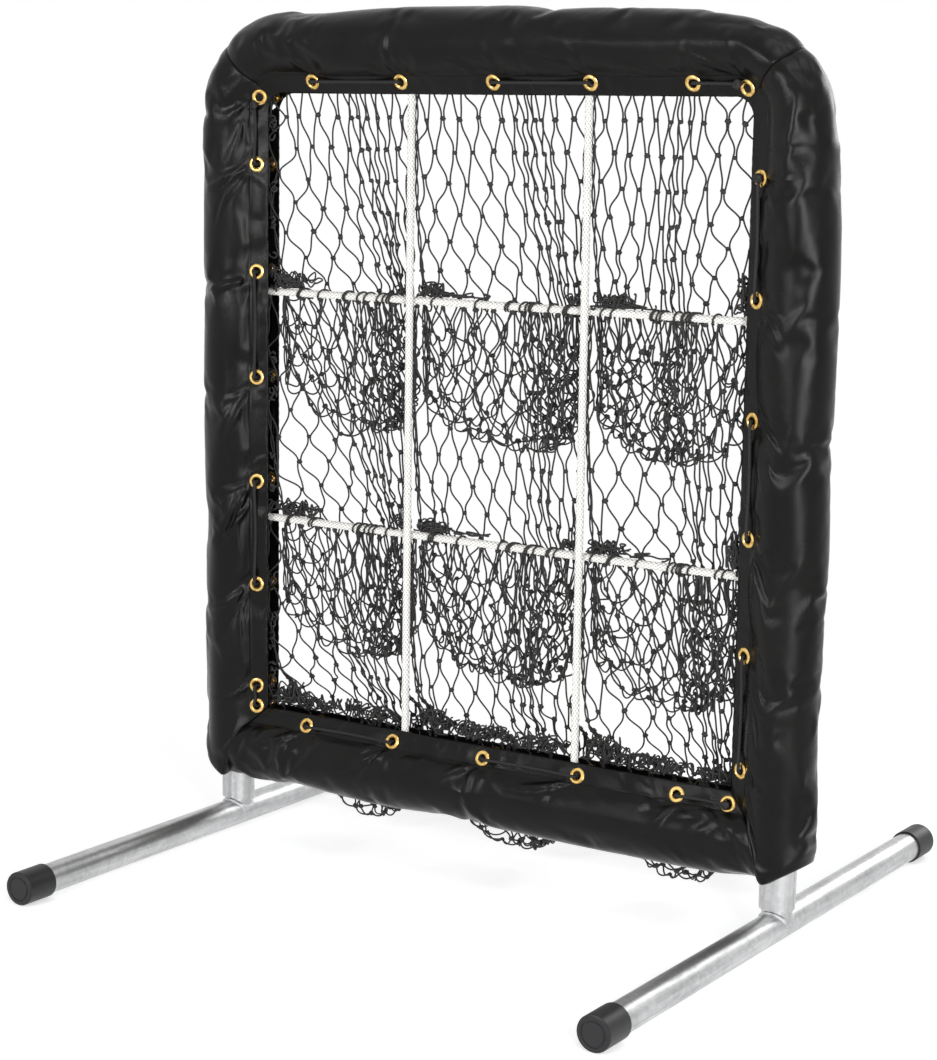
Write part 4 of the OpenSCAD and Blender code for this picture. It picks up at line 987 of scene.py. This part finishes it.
# A knot's shape: a slightly lumpy ball
seed = bmesh.new()
bmesh.ops.create_icosphere(seed, subdivisions=2, radius=1.0)
lump = np.array([v.co[:] for v in seed.verts])
lump_faces = [[v.index for v in f.verts] for f in seed.faces]
seed.free()
lump = lump * (1 + 0.16 * np.sin(lump[:, 2:] * 5 + lump[:, :1] * 4))
for row, row_name in enumerate(("top", "centre", "bottom")):
    for column, column_name in enumerate(("left", "middle", "right")):
        rng = np.random.default_rng(71 + 10 * row + column)
        wide, sheet = (22 if column == 1 else 20), (7, 8, 7)[row]
        deep = sheet + 13
        left_x = (-339.7, -116.58, 125.42)[column]
        right_x = (-125.42, 116.58, 339.7)[column]
        middle = middle_line(row)
        walk = np.concatenate([[0], np.cumsum(np.linalg.norm(np.diff(middle, axis=0), axis=1))])
        stops = np.interp(np.arange(deep + 1), [0, sheet, deep], [0, walk[4], walk[-1]])
        bar = walk[4] / sheet * 1.09
        ids = -np.ones((wide + 1, deep + 1), int)
        knots = []
        # The columns bunch together in one broad and one narrow place, and against the upright ropes
        widths = np.exp(rng.normal(0, 0.3, wide) + rng.normal(0, 0.16, (5, wide)))
        number = np.arange(wide) + 0.5
        for seat, half_span, power, shut in (
            (rng.uniform(0.52, 0.66), 0.24, 4, (0.5, 0.72, 0.76, 0.8, 0.78)),
            (rng.choice([0.16, 0.88]) + rng.uniform(-0.03, 0.03), 0.08, 2, (0.2, 0.85, 0.93, 0.85, 0.7)),
        ):
            drift = np.cumsum(rng.normal(0, 0.02, 5))
            near = np.exp(-np.abs((number / wide - seat - drift[:, None]) / half_span)**power)
            widths *= 1 - np.array(shut)[:, None] * near
        if column > 0:
            widths[:, :2] *= np.array([0.9, 0.5, 0.4, 0.4, 0.6])[:, None]
        if column < 2:
            widths[:, -2:] *= np.array([0.9, 0.5, 0.4, 0.4, 0.6])[:, None]
        edges = np.concatenate([np.zeros((5, 1)), np.cumsum(widths, 1)], 1)
        edges /= edges[:, -1:]
        heart = (0.56, 0.5, 0.42)[column] + rng.uniform(-0.05, 0.05)
        gather = 0.96
        for j in range(deep + 1):
            t = np.interp(stops[j], walk, np.arange(13.0))
            tight = 1 - (1 - gather) * np.interp(t, [0, 3, 5, 8, 10.5, 12],
                                                 [0, 0.1, 0.7, 0.75, 1.0, 0.55])
            for i in range(wide + 1):
                if (i + j) % 2:
                    continue
                a = np.interp(j / deep * 4, np.arange(5), edges[:, i])
                ends = []
                for end, outer in ((left_x, column == 0), (right_x, column == 2)):
                    inward = 1 if end == left_x else -1
                    pull = np.interp(t, [0, 2, 3, 4, 12],
                                     [0, 0, 8.6, 17.2, 17.2] if outer else [0, 0, 1.5, 4.6, 4.6])
                    ends.append(end + inward * pull)
                outer = 1 - a if column == 0 else a if column == 2 else 0
                side = side_line(row, 0.0 if outer > 0.5 else -0.48)
                full = 1 - abs(2 * a - 1) ** (3.4 if row < 2 else 3)
                mix_yz = [np.interp(t, np.arange(13.0), side[:, c]) * (1 - full)
                          + np.interp(t, np.arange(13.0), middle[:, c]) * full for c in (0, 1)]
                if 0 < i < wide:
                    a = heart + (a - heart) * tight
                x = ends[0] + (ends[1] - ends[0]) * a
                y, z = mix_yz
                dx, dz = abs(x) - bend_x, z - bend_z
                if dx > 0 and dz > 0 and math.hypot(dx, dz) > bend_clear:
                    pull = bend_clear / math.hypot(dx, dz)
                    x, z = math.copysign(bend_x + dx * pull, x), bend_z + dz * pull
                ids[i, j] = len(knots)
                knots.append((x, y, z))
        home = np.array(knots)
        grid = np.array([(i, j) for j in range(deep + 1) for i in range(wide + 1) if (i + j) % 2 == 0])
        bars = np.array([(ids[i, j], ids[i + d, j + 1]) for i, j in grid for d in (-1, 1)
                         if j < deep and 0 <= i + d <= wide])
        fixed = (grid[:, 0] == 0) | (grid[:, 0] == wide) | (grid[:, 1] == 0) | (grid[:, 1] == deep)
        bagged = grid[bars[:, 0], 1] >= sheet
        lengths = bar * (1 + rng.normal(0, 0.03, len(bars)))
        jitter = np.where(grid[:, 1] > sheet, 3.0, 1.5)[:, None]
        spots = home + rng.normal(0, 1, home.shape) * jitter * ~fixed[:, None]
        home = home + (spots - home) * 0.6
        before = spots.copy()
        degree = np.bincount(bars.ravel(), minlength=len(spots))[:, None]
        deepest = np.array([home[grid[:, 0] == i, 2].min() for i in range(wide + 1)])
        lowest = np.maximum(deepest[grid[:, 0]] - 5.0 + rng.uniform(0, 9, len(home)), 21.0)
        pull_home = np.where((grid[:, 1] > sheet + 1)[:, None], [0.03, 0.03, 0.02], [0.03, 0.03, 0.004])
        for step in range(240):
            speed = (spots - before) * 0.9
            before = spots.copy()
            spots = spots + speed + [0, 0, -0.35] + (home - spots) * pull_home
            for _ in range(6):
                gap = spots[bars[:, 1]] - spots[bars[:, 0]]
                far = np.linalg.norm(gap, axis=1)
                excess = np.maximum(0, far - lengths) / np.maximum(far, 1e-6) * 0.5
                push = gap * excess[:, None]
                change = np.zeros_like(spots)
                np.add.at(change, bars[:, 0], push)
                np.add.at(change, bars[:, 1], -push)
                spots = spots + change / degree * 1.5
                spots[fixed] = home[fixed]
            spots[:, 2] = np.maximum(spots[:, 2], lowest)
            if row < 2:
                close = (np.abs(spots[:, 2] - net_ropes[row]) < 9) & ~fixed
                spots[close, 1] = np.maximum(spots[close, 1], 12.5)
            else:
                from_rail = np.hypot(spots[:, 1], spots[:, 2] - rail_z)
                close = (from_rail < rail_clear) & (spots[:, 2] < 150.0) & ~fixed
                spots[close, 1] *= rail_clear / from_rail[close]
                spots[close, 2] = rail_z + (spots[close, 2] - rail_z) * rail_clear / from_rail[close]
        # Bars leave their knots nearly upright, so that each mesh is a long hexagon, and bow
        # where they are slack
        gap = spots[bars[:, 1]] - spots[bars[:, 0]]
        far = np.linalg.norm(gap, axis=1)
        lean = np.abs(gap[:, 2]) / np.maximum(far, 1e-6)
        offset = (np.sign(gap[:, 0]) * 2.3 * lean)[:, None] * np.array([1.0, 0, 0])
        start = spots[bars[:, 0]] + offset
        gap = gap - 2 * offset
        loose = np.clip(lengths / np.maximum(far, 1e-6) - 1, 0, 1.2)
        bow = (np.minimum(far * np.sqrt(0.375 * loose), 0.36 * lengths)
               + np.abs(rng.normal(0, 0.9, len(bars))))
        bow = np.minimum(bow, np.where(bagged, 11.0 if row < 2 else 6.5, 4.5))
        sideways = rng.normal(0, 0.6, gap.shape) + [0, 0, -1.8]
        sideways -= (sideways * gap).sum(1, keepdims=True) / (far**2)[:, None] * gap
        sideways /= np.linalg.norm(sideways, axis=1, keepdims=True)
        second = np.cross(gap / far[:, None], sideways)
        t = np.linspace(0, 1, 10)
        ease = t**3 * (10 - 15 * t + 6 * t * t) - t
        level = gap * [1, 1, 0] * lean[:, None]
        sway = rng.normal(0, 1.1, len(bars))[:, None] * np.sin(2 * math.pi * t)
        runs = (start[:, None] + gap[:, None] * t[:, None] + level[:, None] * ease[:, None]
                + sideways[:, None] * (bow[:, None] * np.sin(math.pi * t))[..., None]
                + second[:, None] * sway[..., None])
        parts = [sweep(runs, twine_r, 6)]
        # Knots, a little wider than they are tall
        tilt = rng.normal(0, 0.25, (len(spots), 3))
        turn = np.zeros((len(spots), 3, 3)) + np.eye(3)
        turn[:, 0, 1], turn[:, 1, 0] = -tilt[:, 2], tilt[:, 2]
        turn[:, 0, 2], turn[:, 2, 0] = tilt[:, 1], -tilt[:, 1]
        turn[:, 1, 2], turn[:, 2, 1] = -tilt[:, 0], tilt[:, 0]
        turn = np.linalg.qr(turn)[0]
        shape = lump * [3.8, 2.6, 3.0]
        sizes = rng.uniform(0.8, 1.15, (len(spots), 1, 1))
        balls = spots[:, None] + np.einsum("nij,kj->nki", turn, shape) * sizes
        corners = balls.reshape(-1, 3)
        faces = [[v + k * len(lump) for v in f] for k in range(len(spots)) for f in lump_faces]
        parts.append((corners, [], np.zeros((0, 4, 2)), faces))
        # Slanted turns round the rope above and the rope below
        loops = []
        turns = [(row - 1, k) for k in np.nonzero(grid[:, 1] == 0)[0]] if row > 0 else []
        turns += [(row, k) for k in np.nonzero(grid[:, 1] == deep)[0]] if row < 2 else []
        for cord, k in turns:
            if grid[k, 0] in (0, wide) or rng.random() < (0.8 if cord < row else 0.2):
                continue
            slant = rng.uniform(4.0, 8.5)
            for copy in range(1 + (rng.random() < 0.4)):
                phase = np.linspace(-1.3, 4.5, 16)
                x = (spots[k, 0] + copy * rng.uniform(2.4, 4) - slant * np.cos(phase * 0.55 + 0.7)
                     + rng.uniform(-1, 1))
                x = np.clip(x, left_x + 3, right_x - 3)
                loops.append(np.stack([x, rope_y - loop_r * np.cos(phase),
                                       net_ropes[cord] + loop_r * np.sin(phase)], 1))
        if loops:
            parts.append(sweep(np.array(loops), 1.15, 6))
        # The cord along each edge of the net, two strands twisted round each other
        strands = []
        for i in (0, wide):
            rim = spots[ids[i][ids[i] >= 0]]
            for turn in (0.0, math.pi):
                fine = spline(rim, 5.0)
                swing = np.linspace(0, len(fine) * 0.55, len(fine)) + turn
                fine = fine + np.stack([np.cos(swing), np.sin(swing), 0 * swing], 1) * 1.5
                strands.append(sweep(fine[None], 1.0, 6))
        parts += strands
        # Slack twine tangled along the ropes, at their ends and along the lowest sleeve
        curls, loose_runs = [], []
        if row < 2:
            cord = net_ropes[row]
            if column == 0:
                loose_runs.append(tangle(rng, 8, 15, (left_x + 42, 3.0, cord + 15), (44, 6, 9), 17))
                curls.append(curls_in(rng, 12, (left_x + 30, 3.0, cord + 13), (34, 6, 8), 3.5, 7.0))
            else:
                loose_runs.append(tangle(rng, 6, 15, (left_x + 28, 5.5, cord + 13), (32, 5, 7), 15))
                curls.append(curls_in(rng, 16, (left_x + 14, 5.5, cord + 11), (16, 5, 7), 3.0, 5.5))
                loose_runs.append(tangle(rng, 2, 15, (left_x + 66, 5.5, cord + 9), (60, 4, 3), 30))
            if column == 2:
                loose_runs.append(tangle(rng, 6, 15, (right_x - 18, 4.0, cord + 26), (17, 6, 20), 11))
                curls.append(curls_in(rng, 10, (right_x - 14, 4.0, cord + 20), (11, 6, 16), 3.0, 6.0))
            else:
                curls.append(curls_in(rng, 9, (right_x - 13, 4.0, cord + 12), (11, 6, 6), 3.0, 5.5))
        else:
            loose_runs.append(tangle(rng, 20, 15, ((left_x + right_x) / 2, 4.0, 179.5), (112, 8, 9), 20))
            loose_runs.append(tangle(rng, 7, 15, (left_x + 32, 4.0, 186.0), (32, 8, 13), 16))
            curls.append(curls_in(rng, 22, ((left_x + right_x) / 2, 4.0, 178.0), (112, 8, 8), 3.5, 8.5))
        if column != 1:
            for _ in range(5):
                high = rng.uniform(net_ropes[row] + 30, net_tops[row] - 30)
                edge = left_x + 9 if column == 0 else right_x - 9
                curls.append(curls_in(rng, 4, (edge, 0.0, high), (3, 4, 14), 2.5, 4.5))
        for group in (np.concatenate(curls), np.concatenate(loose_runs)):
            group[..., 0] = np.clip(group[..., 0], left_x - 4, right_x + 4)
            if row < 2:
                level = np.abs(group[..., 1] - rope_y) < rope_clear
                beside = np.abs(group[..., 2] - net_ropes[row]) < rope_clear
                group[..., 2] = np.where(level & beside, net_ropes[row] + rope_clear, group[..., 2])
            else:
                group[..., 2] = np.maximum(group[..., 2], 169.8)
            for upright in (-upright_x, upright_x):
                inside = (np.abs(group[..., 0] - upright) < 6.4) & (group[..., 1] < 1.6)
                group[..., 1] = np.where(inside, 1.6, group[..., 1])
            parts.append(sweep(group, 1.1, 6))
        name = row_name + "_" + column_name
        assemble("net_" + name, parts, twine, ["pocket_" + name])
